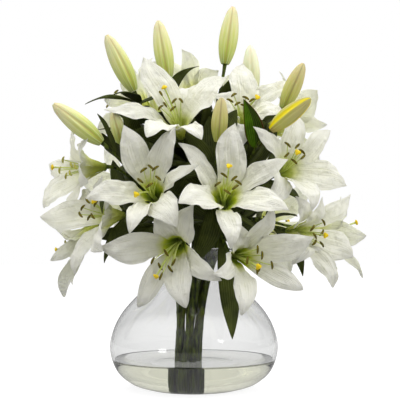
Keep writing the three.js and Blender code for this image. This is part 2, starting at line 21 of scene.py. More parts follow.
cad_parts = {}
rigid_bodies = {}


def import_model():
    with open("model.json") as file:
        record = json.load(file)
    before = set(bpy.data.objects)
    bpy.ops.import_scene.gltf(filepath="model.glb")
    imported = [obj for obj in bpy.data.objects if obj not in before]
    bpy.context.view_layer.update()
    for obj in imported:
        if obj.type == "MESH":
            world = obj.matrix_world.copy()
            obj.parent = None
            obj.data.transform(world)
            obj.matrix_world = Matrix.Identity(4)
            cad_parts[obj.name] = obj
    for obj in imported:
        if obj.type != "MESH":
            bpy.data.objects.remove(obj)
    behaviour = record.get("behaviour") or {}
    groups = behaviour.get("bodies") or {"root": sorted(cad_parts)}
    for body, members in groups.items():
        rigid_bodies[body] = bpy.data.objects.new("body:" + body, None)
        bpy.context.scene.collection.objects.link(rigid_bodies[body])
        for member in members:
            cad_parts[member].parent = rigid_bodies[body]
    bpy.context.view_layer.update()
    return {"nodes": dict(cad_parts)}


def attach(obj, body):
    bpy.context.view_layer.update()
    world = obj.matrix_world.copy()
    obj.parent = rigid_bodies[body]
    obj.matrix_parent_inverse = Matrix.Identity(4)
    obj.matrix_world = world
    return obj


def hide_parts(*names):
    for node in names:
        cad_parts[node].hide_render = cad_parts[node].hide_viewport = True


LOG = logging.getLogger("lilies")
MM = 0.001
Array = np.ndarray
Stops = Sequence[tuple[float, str]]  # of a colour ramp: positions and sRGB hex colours
AddNode = Callable[..., bpy.types.Node]  # add_node for one tree


# ---------------------------------------------------------------- curves and directions


X, Y, Z = np.eye(3)


def vec(*values: float) -> Array:
    """Returns the numbers as one vector."""
    return np.array(values, float)


def unit(v: Array) -> Array:
    """Returns the vector, or each row of vectors, at length one."""
    return v / np.maximum(np.linalg.norm(v, axis=-1, keepdims=True), 1e-9)


def leant(a: Array, b: Array, degrees: float) -> Array:
    """Returns the direction a, leant by an angle towards b, which is square to it."""
    angle = math.radians(degrees)
    return a * math.cos(angle) + b * math.sin(angle)


def ramp(x: Array, start: float, length: float) -> Array:
    """Returns how much of a stretch is behind x: 0 up to its start, 1 from its end on."""
    return np.clip((x - start) / length, 0, 1)


def circle(steps: int) -> Array:
    """Returns the angles of this many even steps round a circle."""
    return np.arange(steps) * 2 * math.pi / steps


@dataclass(frozen=True)
class Bezier:
    """A curve through its first and last control point, of as many degrees as it has between."""

    controls: tuple[Array, ...]

    def points(self, s: Array) -> Array:
        """Finds points of the curve.

        Args:
            s: the parameters, from 0 at the first control point to 1 at the last.

        Returns:
            The points, one row each.
        """
        degree = len(self.controls) - 1
        s = np.atleast_1d(s)[:, None]
        terms = (
            math.comb(degree, i) * s**i * (1 - s) ** (degree - i) * c
            for i, c in enumerate(self.controls)
        )
        return sum(terms)

    def tangents(self, s: Array) -> Array:
        """Returns the directions at the parameters s, one row each."""
        steps = tuple(b - a for a, b in zip(self.controls, self.controls[1:]))
        return unit(Bezier(steps).points(s))

    def _lengths(self) -> tuple[Array, Array]:
        """Measures the curve.

        Returns:
            201 parameters, and the length of the curve up to each.
        """
        s = np.linspace(0, 1, 201)
        steps = np.linalg.norm(np.diff(self.points(s), axis=0), axis=1)
        return s, np.concatenate([[0.0], np.cumsum(steps)])

    def length(self) -> float:
        """Returns the curve's length."""
        return float(self._lengths()[1][-1])

    def at_share(self, share: Array) -> Array:
        """Returns the parameters at these shares of the curve's length."""
        s, lengths = self._lengths()
        return np.interp(np.atleast_1d(share) * lengths[-1], lengths, s)

    def spaced(self, steps: int) -> Array:
        """Returns steps + 1 points at even distances along the curve."""
        return self.points(self.at_share(np.linspace(0, 1, steps + 1)))


@dataclass(frozen=True)
class Facing:
    """The way a bloom looks: turned from the front towards +X, and lifted above level."""

    turn: float
    lift: float

    @property
    def axis(self) -> Array:
        """The direction out of the bloom's mouth."""
        return leant(leant(-Y, X, self.turn), Z, self.lift)

    @property
    def right(self) -> Array:
        """The bloom's right hand, as seen from its front."""
        return leant(X, Y, self.turn)

    @property
    def upper(self) -> Array:
        """The bloom's upper side."""
        return np.cross(self.axis, self.right)

    def outward(self, clock: float) -> Array:
        """Returns the direction at a clock angle round the axis, measured from the right."""
        return leant(self.right, self.upper, clock)

    def aside(self, right: float, up: float) -> Array:
        """Returns the way to a place so far to the bloom's right and its upper side."""
        return self.right * right + self.upper * up


# ---------------------------------------------------------------- meshes


def uv_grid(u: Array, v: Array) -> Array:
    """Returns a grid's UVs, from the U of its columns and the V of its rows."""
    return np.stack(np.broadcast_arrays(u, v), axis=-1)


def blade(middle: Array, side: Array, up: Array, offset: Array, height: Array) -> Array:
    """Lays a grid of points off from a spine.

    Args:
        middle: the spine's points.
        side: the way across, for all of them or for each.
        up: the way off the blade at each.
        offset: how far across each point of the grid lies.
        height: how far off the blade each point of the grid lies.

    Returns:
        The points, as rows by columns by three.
    """
    return middle[:, None] + side[..., None, :] * offset[..., None] + up[:, None] * height[..., None]


def grid_faces(rows: int, columns: int, closed: bool = False) -> Array:
    """Makes the faces of a grid of vertices.

    Args:
        rows: how many rows of vertices it has.
        columns: how many vertices there are in a row.
        closed: whether each row closes on itself.

    Returns:
        The numbers of the four corners of each face, one row each.
    """
    index = np.arange(rows * columns).reshape(rows, columns)
    if closed:
        index = np.concatenate([index, index[:, :1]], axis=1)
    corners = (index[:-1, :-1], index[:-1, 1:], index[1:, 1:], index[1:, :-1])
    return np.stack([part.ravel() for part in corners], axis=1)


@dataclass
class Draft:
    """A mesh in the making: vertices in millimetres with one UV each, and faces with a slot each."""

    points: list[Array] = field(default_factory=list)
    uvs: list[Array] = field(default_factory=list)
    faces: list[tuple[int, ...]] = field(default_factory=list)
    slots: list[int] = field(default_factory=list)
    count: int = 0

    def vertices(self, points: Array, uvs: Array) -> int:
        """Adds vertices.

        Args:
            points: one row of three for each vertex.
            uvs: one row of two for each vertex.

        Returns:
            The number of the first one.
        """
        first = self.count
        self.points.append(points.reshape(-1, 3))
        self.uvs.append(uvs.reshape(-1, 2))
        self.count += len(self.points[-1])
        return first

    def add_faces(self, faces: Array, slot: int) -> None:
        """Adds faces, one row of corners each, in a material slot."""
        self.faces.extend(map(tuple, faces.tolist()))
        self.slots.extend([slot] * len(faces))

    def sheet(self, middle: Array, half: Array, uvs: Array, slots: tuple[int, int]) -> None:
        """Adds a thin closed leaf or petal round a grid of points.

        Args:
            middle: the grid's points, as rows by columns by three.
            half: half the thickness at each point.
            uvs: the grid's UVs.
            slots: the slots of the upper face and the lower one.
        """
        rows, columns = middle.shape[:2]
        normal = unit(np.cross(np.gradient(middle, axis=0), np.gradient(middle, axis=1)))
        lower = self.vertices(middle - normal * half[..., None], uvs)
        upper = self.vertices(middle + normal * half[..., None], uvs)
        faces = grid_faces(rows, columns)
        self.add_faces(lower + faces, slots[1])
        self.add_faces(upper + faces[:, [0, 3, 2, 1]], slots[0])
        index = np.arange(rows * columns).reshape(rows, columns)
        rim = np.concatenate([index[0, :-1], index[:-1, -1], index[-1, :0:-1], index[:0:-1, 0]])
        after = np.roll(rim, -1)
        edge = [lower + after, lower + rim, upper + rim, upper + after]
        self.add_faces(np.stack(edge, axis=1), slots[0])

    def tube(self, middles: Array, radii: Array, sides: int, slot: int, uvs: Array | None = None) -> None:
        """Adds a closed tube.

        Args:
            middles: the points it runs through.
            radii: the radius at each, or a row of one radius for each side.
            sides: how many sides it has.
            slot: its material slot.
            uvs: UVs of its rings; by default round the tube and along it.
        """
        rings = len(middles)
        along = unit(np.gradient(middles, axis=0))
        angles = circle(sides)
        first = unit(np.cross(Z if abs(along[0][2]) < 0.9 else X, along[0]))
        rows = []
        for middle, direction, radius in zip(middles, along, np.broadcast_to(radii.T, (sides, rings)).T):
            first = unit(first - direction * float(first @ direction))
            second = np.cross(direction, first)
            ring = np.outer(np.cos(angles), first) + np.outer(np.sin(angles), second)
            rows.append(middle + ring * radius[:, None])
        if uvs is None:
            u = np.abs(np.linspace(-1, 1, sides, endpoint=False))
            uvs = uv_grid(u, np.linspace(0, 1, rings)[:, None])
        start = self.vertices(np.array(rows), uvs)
        self.add_faces(start + grid_faces(rings, sides, True), slot)
        ends = (start + np.arange(sides)[::-1], start + (rings - 1) * sides + np.arange(sides))
        self.add_faces(np.array(ends), slot)

    def lathe(self, profile: Array, sides: int, slot: int) -> None:
        """Adds a solid of revolution about Z.

        Args:
            profile: its radii and heights, which start and end on the axis.
            sides: how many sides it has.
            slot: its material slot.
        """
        angles = circle(sides)
        inner = profile[1:-1]
        r, z = inner[:, 0][:, None], inner[:, 1][:, None]
        rings = np.stack([r * np.cos(angles), r * np.sin(angles), z.repeat(sides, 1)], axis=-1)
        share = np.linspace(0, 1, len(inner))[:, None]
        start = self.vertices(rings, uv_grid(share, share + 0 * angles))
        self.add_faces(start + grid_faces(len(inner), sides, True), slot)
        corner = np.arange(sides)
        after = np.roll(corner, -1)
        for height, ring, pair in (
            (profile[0, 1], 0, (after, corner)),
            (profile[-1, 1], len(inner) - 1, (corner, after)),
        ):
            pole = self.vertices(Z * height, np.zeros(2))
            base = start + ring * sides
            self.add_faces(np.stack([pole + 0 * corner, base + pair[0], base + pair[1]], axis=1), slot)

    def build(self, name: str, finishes: "list[Finish]", node: str, slot: str) -> bpy.types.Object:
        """Turns the draft into a piece that stands for a CAD node.

        Args:
            name: the piece's name.
            finishes: the finishes of its slots.
            node: the CAD node that it stands for.
            slot: the record's material slot; not used.

        Returns:
            The piece, riding on the part's only body.
        """
        mesh = bpy.data.meshes.new(name)
        points = np.concatenate(self.points) * MM
        mesh.from_pydata(points.tolist(), [], self.faces)
        uvs = np.concatenate(self.uvs)
        corners = np.zeros(len(mesh.loops), np.int32)
        mesh.loops.foreach_get("vertex_index", corners)
        layer = mesh.uv_layers.new(name="UVMap")
        layer.data.foreach_set("uv", uvs[corners].astype(np.float32).ravel())
        mesh.polygons.foreach_set("material_index", np.array(self.slots, np.int32))
        mesh.polygons.foreach_set("use_smooth", np.ones(len(self.faces), bool))
        mesh.update()
        for finish in finishes:
            mesh.materials.append(finish.dress())
        piece = bpy.data.objects.new(name, mesh)
        bpy.context.scene.collection.objects.link(piece)
        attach(piece, "root")
        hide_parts(node)
        return piece


# ---------------------------------------------------------------- finishes


def linear(colour: str) -> tuple[float, float, float, float]:
    """Turns an sRGB hex colour to linear.

    Args:
        colour: the colour, such as "#e8e9e1".

    Returns:
        Linear red, green and blue, and 1.
    """
    parts = (int(colour[i : i + 2], 16) / 255 for i in (1, 3, 5))
    r, g, b = (p / 12.92 if p <= 0.04045 else ((p + 0.055) / 1.055) ** 2.4 for p in parts)
    return r, g, b, 1.0


def add_node(
    tree: bpy.types.NodeTree,
    kind: str,
    inputs: dict[str | int, object] | None = None,
    stops: Stops = (),
    **settings: str,
) -> bpy.types.Node:
    """Adds a shader node to a tree.

    Args:
        tree: the node tree.
        kind: the node's type name, without the word that every one starts with.
        inputs: what its inputs take, by name or number: a value, a socket, or a node, which
            stands for the first of its outputs that is in use.
        stops: for a colour ramp, its positions and sRGB hex colours.
        settings: the values of its properties.

    Returns:
        The node.
    """
    node = tree.nodes.new("ShaderNode" + kind)
    for name, value in settings.items():
        setattr(node, name, value)
    for key, source in (inputs or {}).items():
        if isinstance(source, bpy.types.Node):
            source = next(socket for socket in source.outputs if socket.enabled)
        if isinstance(source, bpy.types.NodeSocket):
            tree.links.new(source, node.inputs[key])
        else:
            node.inputs[key].default_value = source
    for i, (position, colour) in enumerate(stops):
        elements = node.color_ramp.elements
        element = elements[i] if i < len(elements) else elements.new(position)
        element.position, element.color = position, linear(colour)
    return node


def emptied(tree: bpy.types.NodeTree) -> AddNode:
    """Empties a node tree and returns the call that adds nodes to it."""
    tree.nodes.clear()
    return partial(add_node, tree)


def new_material(name: str) -> tuple[bpy.types.Material, AddNode]:
    """Makes an empty node material.

    Args:
        name: its name.

    Returns:
        The material, and the call that adds nodes to it.
    """
    material = bpy.data.materials.new(name)
    material.use_nodes = True
    return material, emptied(material.node_tree)


def noise_scale(cell_mm: float) -> float:
    """Returns the scale of a noise whose cells are so many millimetres wide."""
    return 1 / (cell_mm * MM)


def from_midrib(add: AddNode, across: bpy.types.NodeSocket) -> bpy.types.Node:
    """Measures how far a point of a blade is from its midrib.

    Args:
        add: what adds nodes to the tree.
        across: the socket that gives the mesh's U.

    Returns:
        The node. It gives 0 on the midrib and 0.5 at the edge.
    """
    off_centre = add("Math", {0: across, 1: 0.5}, operation="SUBTRACT")
    return add("Math", {0: off_centre}, operation="ABSOLUTE")


@dataclass(frozen=True)
class PetalCloth:
    """Heat-pressed polyester cloth, matt and a little translucent, dyed green in the throat.

    It gives the eye soft white that never shines, fine pressed veins and crinkles, painted shade
    along the veins, and a glow where light comes through.
    """

    name: str
    stops: Stops
    rib: str
    rib_share: float
    roughness: float = 0.62
    mottle_mm: float = 14.3
    vein_count: float = 15.0  # pressed veins across a petal about 34 mm wide: one each 2.3 mm
    crinkle_mm: float = 4.8  # coarser than real crinkles, so that they show
    dent_mm: float = 22.0
    shade: str = "#c2bf98"  # painted shade along the pressed veins, in patches

    def material(self) -> bpy.types.Material:
        """Builds the finish. The mesh's U runs from edge to edge, and its V from throat to tip.

        Returns:
            The material.
        """
        material, add = new_material(self.name)
        uv = add("UVMap", uv_map="UVMap")
        across, along, _ = add("SeparateXYZ", {0: uv}).outputs
        place = add("TexCoord").outputs["Object"]
        mottle = add("TexNoise", {0: place, "Scale": noise_scale(self.mottle_mm), "Detail": 3.0})
        drift = add("Math", {0: mottle, 1: 0.12, 2: -0.06}, operation="MULTIPLY_ADD")
        shifted = add("Math", {0: along, 1: drift}, operation="ADD")
        dye = add("ValToRGB", {0: shifted}, self.stops)
        distance = from_midrib(add, across)
        rib = add("MapRange", {0: distance, "From Max": 0.13, "To Min": self.rib_share, "To Max": 0.0})
        throat = {"From Min": 0.18, "From Max": 0.42, "To Min": 1.0, "To Max": 0.0}
        fade = add("MapRange", {0: along, **throat})
        tint = add("Math", {0: rib, 1: fade}, operation="MULTIPLY")
        ribbed = add("Mix", {0: tint, 6: dye, 7: linear(self.rib)}, data_type="RGBA")
        fan = add("Mapping", {0: uv, "Scale": (self.vein_count * 2, 2.4, 1.0)})
        vein = add("TexNoise", {0: fan, "Scale": 1.0, "Detail": 2.0, "Distortion": 0.4})
        # Painted shade: the colour darkens towards the shade colour along the pressed veins, in patches.
        hollow = add("MapRange", {0: vein, "From Min": 0.5, "From Max": 0.32, "To Max": 0.45})
        patches = add("MapRange", {0: mottle, "From Min": 0.42, "From Max": 0.6, "To Min": 0.15})
        vein_shade_share = add("Math", {0: hollow, 1: patches}, operation="MULTIPLY")
        veined = add("Mix", {0: vein_shade_share, 6: ribbed, 7: linear(self.shade)}, data_type="RGBA")
        fine = {"Scale": noise_scale(self.crinkle_mm), "Detail": 2.0, "Distortion": 0.6}
        crinkle = add("TexNoise", {0: place, **fine})
        pressed = add("Math", {0: vein, 1: 1.1, 2: crinkle}, operation="MULTIPLY_ADD")
        broad = {"Scale": noise_scale(self.dent_mm), "Detail": 1.0, "Distortion": 1.2}
        dent = add("TexNoise", {0: place, **broad})
        relief = add("Math", {0: dent, 1: 3.0, 2: pressed}, operation="MULTIPLY_ADD")
        bump = add("Bump", {"Height": relief, "Distance": 0.0012})
        shader = add(
            "BsdfPrincipled",
            {
                "Base Color": veined,
                "Normal": bump,
                "Roughness": self.roughness,
                "Specular IOR Level": 0.25,
                "Subsurface Weight": 0.6,
                "Subsurface Scale": 0.003,
                "Subsurface Radius": (1.0, 1.0, 0.8),
            },
        )
        add("OutputMaterial", {0: shader})
        return material


@dataclass(frozen=True)
class Moulded:
    """Soft moulded polyethylene, dyed in one colour that drifts a little, with a low sheen."""

    name: str
    light: str
    dark: str
    roughness: float = 0.5
    mottle_mm: float = 6.0
    grain_mm: float = 0.8  # coarser than real grain, so that it shows
    relief: float = 0.25

    def material(self) -> bpy.types.Material:
        """Builds the finish, whose pattern is drawn out to four times its size upwards.

        Returns:
            The material.
        """
        material, add = new_material(self.name)
        place = add("TexCoord").outputs["Object"]
        streaks = add("Mapping", {0: place, "Scale": (1.0, 1.0, 0.25)})
        mottle = add("TexNoise", {0: streaks, "Scale": noise_scale(self.mottle_mm), "Detail": 3.0})
        colour = add("ValToRGB", {0: mottle}, [(0.35, self.dark), (0.68, self.light)])
        grain = add("TexNoise", {0: streaks, "Scale": noise_scale(self.grain_mm)})
        bump = add("Bump", {"Height": grain, "Strength": self.relief, "Distance": 0.0004})
        sheen = {"Roughness": self.roughness, "Specular IOR Level": 0.4}
        shader = add("BsdfPrincipled", {"Base Color": colour, "Normal": bump, **sheen})
        add("OutputMaterial", {0: shader})
        return material


@dataclass(frozen=True)
class BudSkin:
    """Moulded foam bud under a painted skin.

    It gives the eye a soft, almost matt green that turns to cream at the tip, streaked along its
    length, with a line in each seam of the petals.
    """

    name: str
    stops: Stops
    streak: str
    seam: str
    seam_share: float = 0.55
    seam_width: float = 0.16  # in U, where 1 is a ridge
    roughness: float = 0.5
    streak_count: float = 4.5  # between a seam and a ridge, so one each 2.7 mm

    def material(self) -> bpy.types.Material:
        """Builds the finish. The mesh's U is 0 in a seam and 1 on a petal's ridge.

        Returns:
            The material.
        """
        material, add = new_material(self.name)
        uv = add("UVMap", uv_map="UVMap")
        from_seam, along, _ = add("SeparateXYZ", {0: uv}).outputs
        skin = add("ValToRGB", {0: along}, self.stops)
        lengthwise = add("Mapping", {0: uv, "Scale": (self.streak_count, 1.3, 1.0)})
        brush = add("TexNoise", {0: lengthwise, "Scale": 1.0, "Detail": 3.0, "Distortion": 0.5})
        share = add("MapRange", {0: brush, "From Min": 0.38, "From Max": 0.7, "To Max": 0.6})
        streaked = add("Mix", {0: share, 6: skin, 7: linear(self.streak)}, data_type="RGBA")
        painted = {"From Min": self.seam_width * 0.4, "From Max": self.seam_width}
        line = add("MapRange", {0: from_seam, **painted, "To Min": self.seam_share, "To Max": 0.0})
        lined = add("Mix", {0: line, 6: streaked, 7: linear(self.seam)}, data_type="RGBA")
        bump = add("Bump", {"Height": brush, "Strength": 0.6, "Distance": 0.0012})
        soft = {"Subsurface Weight": 0.15, "Subsurface Scale": 0.003}
        sheen = {"Roughness": self.roughness, "Specular IOR Level": 0.3}
        shader = add("BsdfPrincipled", {"Base Color": lined, "Normal": bump, **sheen, **soft})
        add("OutputMaterial", {0: shader})
        return material


@dataclass(frozen=True)
class LeafCloth:
    """Printed and waxed cloth leaf.

    It gives the eye a dull dark green with paler pressed veins that run its length, a dark edge
    where the print ends, and painted shade over the half beyond the midrib.
    """

    name: str
    dark: str
    light: str
    vein: str
    edge: str
    far_half_shade: str  # painted shade that darkens the half beyond the midrib
    far_shade_share: float
    roughness: float = 0.52
    mottle_mm: float = 16.7
    vein_count: float = 9.0  # across a leaf 24 mm wide: one each 2.7 mm, coarse so that they show

    def material(self) -> bpy.types.Material:
        """Builds the finish. The mesh's U runs from edge to edge.

        Returns:
            The material.
        """
        material, add = new_material(self.name)
        uv = add("UVMap", uv_map="UVMap")
        across = add("SeparateXYZ", {0: uv}).outputs[0]
        place = add("TexCoord").outputs["Object"]
        mottle = add("TexNoise", {0: place, "Scale": noise_scale(self.mottle_mm), "Detail": 4.0})
        body = add("ValToRGB", {0: mottle}, [(0.3, self.dark), (0.72, self.light)])
        fan = add("Math", {0: across, 1: self.vein_count * 2 * math.pi}, operation="MULTIPLY")
        wave = add("Math", {0: fan}, operation="COSINE")
        lines = add("MapRange", {0: wave, "From Min": 0.55, "To Max": 0.4})
        # Painted shade: the half beyond the midrib is darkened, as if it were turned from the light.
        shaded_half_mask = add("MapRange", {0: across, "From Min": 0.52, "From Max": 0.48, "To Max": self.far_shade_share})
        half_shaded = add("Mix", {0: shaded_half_mask, 6: body, 7: linear(self.far_half_shade)}, data_type="RGBA")
        veined = add("Mix", {0: lines, 6: half_shaded, 7: linear(self.vein)}, data_type="RGBA")
        distance = from_midrib(add, across)
        rim = add("MapRange", {0: distance, "From Min": 0.43, "From Max": 0.49, "To Max": 0.8})
        edged = add("Mix", {0: rim, 6: veined, 7: linear(self.edge)}, data_type="RGBA")
        bump = add("Bump", {"Height": wave, "Strength": 0.4, "Distance": 0.0005})
        sheen = {"Roughness": self.roughness, "Specular IOR Level": 0.12}
        shader = add("BsdfPrincipled", {"Base Color": edged, "Normal": bump, **sheen})
        add("OutputMaterial", {0: shader})
        return material


@dataclass(frozen=True)
class Clear:
    """A clear body: soda-lime glass blown in a mould, or still water.

    Glass shows by its dark, bent rim and the studio's reflections. Water shows by its line and
    by a faint warm tint that deepens with its depth.
    """

    name: str
    ior: float
    tint: str
    density: float

    def material(self) -> bpy.types.Material:
        """Builds the finish.

        Returns:
            The material.
        """
        material, add = new_material(self.name)
        smooth = {"Base Color": linear("#ffffff"), "Roughness": 0.0}
        shader = add("BsdfPrincipled", {**smooth, "IOR": self.ior, "Transmission Weight": 1.0})
        inside = add("VolumeAbsorption", {"Color": linear(self.tint), "Density": self.density})
        add("OutputMaterial", {0: shader, 1: inside})
        return material


def throat_dye(*colours: str) -> Stops:
    """Returns a petal's dye, from five colours of its throat to the white that they fade to."""
    return tuple(zip((0.0, 0.12, 0.18, 0.23, 0.285, 0.36, 1.0), (*colours, "#ebead2", "#f0eedb")))


class Finish(Enum):
    """The finishes of the arrangement, each with what it gives the eye."""

    # The cloth's upper face: white, with a deep green throat that draws the eye in.
    PETAL = PetalCloth(
        "petal_cloth_white",
        throat_dye("#445400", "#708800", "#98ae00", "#c6d240", "#e2e4aa"),
        "#c2cd7c",
        0.3,
    )
    # The same with little dye: the throat is a pale yellow green.
    PETAL_PALE = PetalCloth(
        "petal_cloth_pale_throat",
        throat_dye("#76881a", "#a3b23c", "#c0ca66", "#d6db92", "#e4e6ba"),
        "#c2cd7c",
        0.3,
    )
    # The cloth's lower face: yellow green from its foot up, with a green midrib.
    PETAL_BACK = PetalCloth(
        "petal_cloth_back",
        ((0.0, "#aab638"), (0.16, "#cad258"), (0.3, "#e1e590"), (0.44, "#edefca"), (1.0, "#f4f3e4")),
        "#c0ca6e",
        0.5,
    )
    # Smooth: a thin highlight runs down each pale green thread.
    FILAMENT = Moulded("filament_pale_green", "#d2da88", "#b0be52", 0.45, relief=0.1)
    # Flocked: velvety olive without a highlight, and paler where it is young.
    ANTHER = Moulded("anther_olive_flock", "#7c721a", "#48420c", 0.9, 1.5, 0.5, 0.8)
    ANTHER_YOUNG = Moulded("anther_pale_flock", "#c8c46c", "#9a9638", 0.9, 1.5, 0.5, 0.8)
    # Painted: a bright yellow dot.
    STIGMA = Moulded("stigma_yellow", "#f4d814", "#dcbc0c", 0.55, 2.0)
    # Bare plastic: plain green with a low sheen.
    RECEPTACLE = Moulded("receptacle_green", "#8c9a3a", "#62721f", 0.5)
    # Rough from a bark-like mould: nearly black green with lighter streaks.
    STALK = Moulded("stalk_dark_green", "#5c6c10", "#121800", 0.6, 3.2, 1.6, 1.0)
    # Printed dark, with painted shade on the half beyond the midrib: the leaves sink back behind the
    # petals.
    LEAF = LeafCloth("leaf_cloth_dark", "#2e3613", "#525a26", "#686f42", "#3e4520", "#282e13", 0.4)
    # Printed bright with a russet edge, and deep painted shade over the half beyond the midrib: the one
    # fresh leaf.
    LEAF_BRIGHT = LeafCloth(
        "leaf_cloth_bright", "#344f06", "#568208", "#6e9420", "#5e2418", "#2a3410", 0.9, 0.4
    )
    # Fresh: yellow green that turns to cream.
    BUD = BudSkin(
        "bud_skin_green",
        ((0.0, "#98aa2c"), (0.2, "#b9c750"), (0.5, "#cdd278"), (0.8, "#d9d69c"), (1.0, "#d8cc9e")),
        "#ecebc6",
        "#b09a58",
    )
    # Drier: tan from the middle up, with brown seams.
    BUD_TAN = BudSkin(
        "bud_skin_tan",
        ((0.0, "#a0ae2e"), (0.25, "#b4b74c"), (0.6, "#beb668"), (0.85, "#c8bd84"), (1.0, "#c2b480")),
        "#d6cf9e",
        "#8c7850",
    )
    # Faded: cream nearly all over.
    BUD_PALE = BudSkin(
        "bud_skin_faded",
        ((0.0, "#b9c07a"), (0.25, "#d6d9a2"), (0.7, "#e4e4c2"), (1.0, "#e6e4cc")),
        "#efefd8",
        "#d9d6ac",
    )
    # About to open: broad bright yellow seams.
    BUD_OPENING = BudSkin(
        "bud_skin_opening",
        ((0.0, "#9a6c04"), (0.1, "#a89a1c"), (0.25, "#b4b44a"), (0.7, "#b2a85e"), (1.0, "#a49a5c")),
        "#dcd8a0",
        "#e8d600",
        0.95,
        0.42,
    )
    # Nearly colourless: seen by its rim and its reflections.
    GLASS = Clear("glass_clear", 1.47, "#dddedd", 95.0)
    # Faintly yellow where it is deep.
    WATER = Clear("water_still", 1.333, "#eeeece", 5.0)

    def dress(self) -> bpy.types.Material:
        """Returns the finish's material, which is made once."""
        return bpy.data.materials.get(self.value.name) or self.value.material()


# ---------------------------------------------------------------- vase and water


@dataclass(frozen=True)
class Vase:
    """A blown bulb vase with a narrow neck and a flared lip, and the water in it.

    Its outline is (radius, height) from the foot to the lip.
    """

    wall: float = 3.0
    floor: float = 7.0
    height: float = 166.0
    outline: tuple[tuple[float, float], ...] = (
        (54, 0),
        (74, 6.5),
        (91, 21),
        (99.5, 44),
        (97, 66),
        (85, 90),
        (63, 114),
        (43, 133),
        (38.5, 146),
        (44, 157),
        (55, 166),
    )
    under: tuple[tuple[float, float], ...] = ((0, 1.6), (30, 1.4), (45, 0.5), (50, 0))  # of the foot
    corner: tuple[float, float] = (1.6, 0.6)  # between its floor and its wall
    water_top: float = 35.0
    bite: float = 0.25  # how far the water reaches into the glass
    creep: tuple[tuple[float, float], ...] = ((0, 0.4), (0.9, 0.05), (2.4, -0.3))  # in and up
    sag: float = 0.35  # of the water's middle
    steps: int = 10  # points between two of the outline
    sides: int = 144

    def outer(self) -> Array:
        """Draws a smooth curve through the outline's points.

        Returns:
            The outer profile, as radius and height, from the foot to the lip.
        """
        given = np.array(self.outline, float)
        ends = np.concatenate([given[:1], given, given[-1:]])
        t = np.arange(self.steps)[:, None] / self.steps
        rows = []
        for a, b, c, d in zip(ends, ends[1:], ends[2:], ends[3:]):
            bend = 2 * a - 5 * b + 4 * c - d
            swing = 3 * b - a - 3 * c + d
            rows.append(0.5 * (2 * b + (c - a) * t + bend * t**2 + swing * t**3))
        return np.concatenate([*rows, given[-1:]])

    def inset(self, distance: float) -> Array:
        """Moves the part of the profile above the floor's corner in.

        Args:
            distance: how far it is moved.

        Returns:
            Its radii and heights.
        """
        outer = self.outer()
        along = unit(np.gradient(outer, axis=0))
        moved = outer + np.stack([-along[:, 1], along[:, 0]], axis=1) * distance
        return moved[moved[:, 1] > self.floor + self.corner[1]]

    def glass(self) -> bpy.types.Object:
        """Builds the vase: foot with a shallow hollow under it, wall, rounded lip and floor.

        Returns:
            The piece.
        """
        outer = self.outer()
        inner = self.inset(self.wall)
        inner = inner[inner[:, 1] < self.height - self.wall * 0.2]
        middle = (outer[-1] + inner[-1]) / 2
        reach = (outer[-1] - inner[-1]) / 2
        up = vec(-reach[1], reach[0])
        turns = np.linspace(0.15, 0.85, 6) * math.pi
        lip = [middle + reach * math.cos(t) + up * math.sin(t) for t in turns]
        lip = [vec(r, min(z, self.height)) for r, z in lip]
        edge = vec(inner[0][0] - self.corner[0], self.floor)
        profile = [*self.under, *outer, *lip, *inner[::-1], edge, vec(0, self.floor)]
        draft = Draft()
        draft.lathe(np.array(profile), self.sides, 0)
        return draft.build("glass_vase", [Finish.GLASS], "vase", "glass")

    def water(self) -> bpy.types.Object:
        """Builds the water, which reaches a little into the glass so that light meets one face.

        Returns:
            The piece.
        """
        inner = self.inset(self.wall - self.bite)
        climb = self.water_top + self.creep[0][1]
        lower_half = inner[: len(inner) // 2]
        edge = np.interp(climb, lower_half[:, 1], lower_half[:, 0])
        wall = inner[inner[:, 1] < self.water_top - self.corner[1]]
        bottom = self.floor - self.bite
        foot = [vec(0, bottom), vec(wall[0][0] - self.corner[0], bottom)]
        rise = [vec(edge - inwards, self.water_top + up) for inwards, up in self.creep]
        profile = [*foot, *wall, *rise, vec(0, self.water_top - self.sag)]
        draft = Draft()
        draft.lathe(np.array(profile), self.sides, 0)
        return draft.build("still_water", [Finish.WATER], "water", "water")


# ---------------------------------------------------------------- blooms


WIDE, SLIM = 17.0, 12.0  # half the width of an inner petal and of an outer one
FRONT_GRID, BACK_GRID = (44, 21), (32, 13)  # points along and across a petal
RECEPTACLE = ((-0.6, 2.2), (0.4, 3.6), (1.6, 4.9), (3.0, 5.0), (4.6, 3.4))  # heights and radii


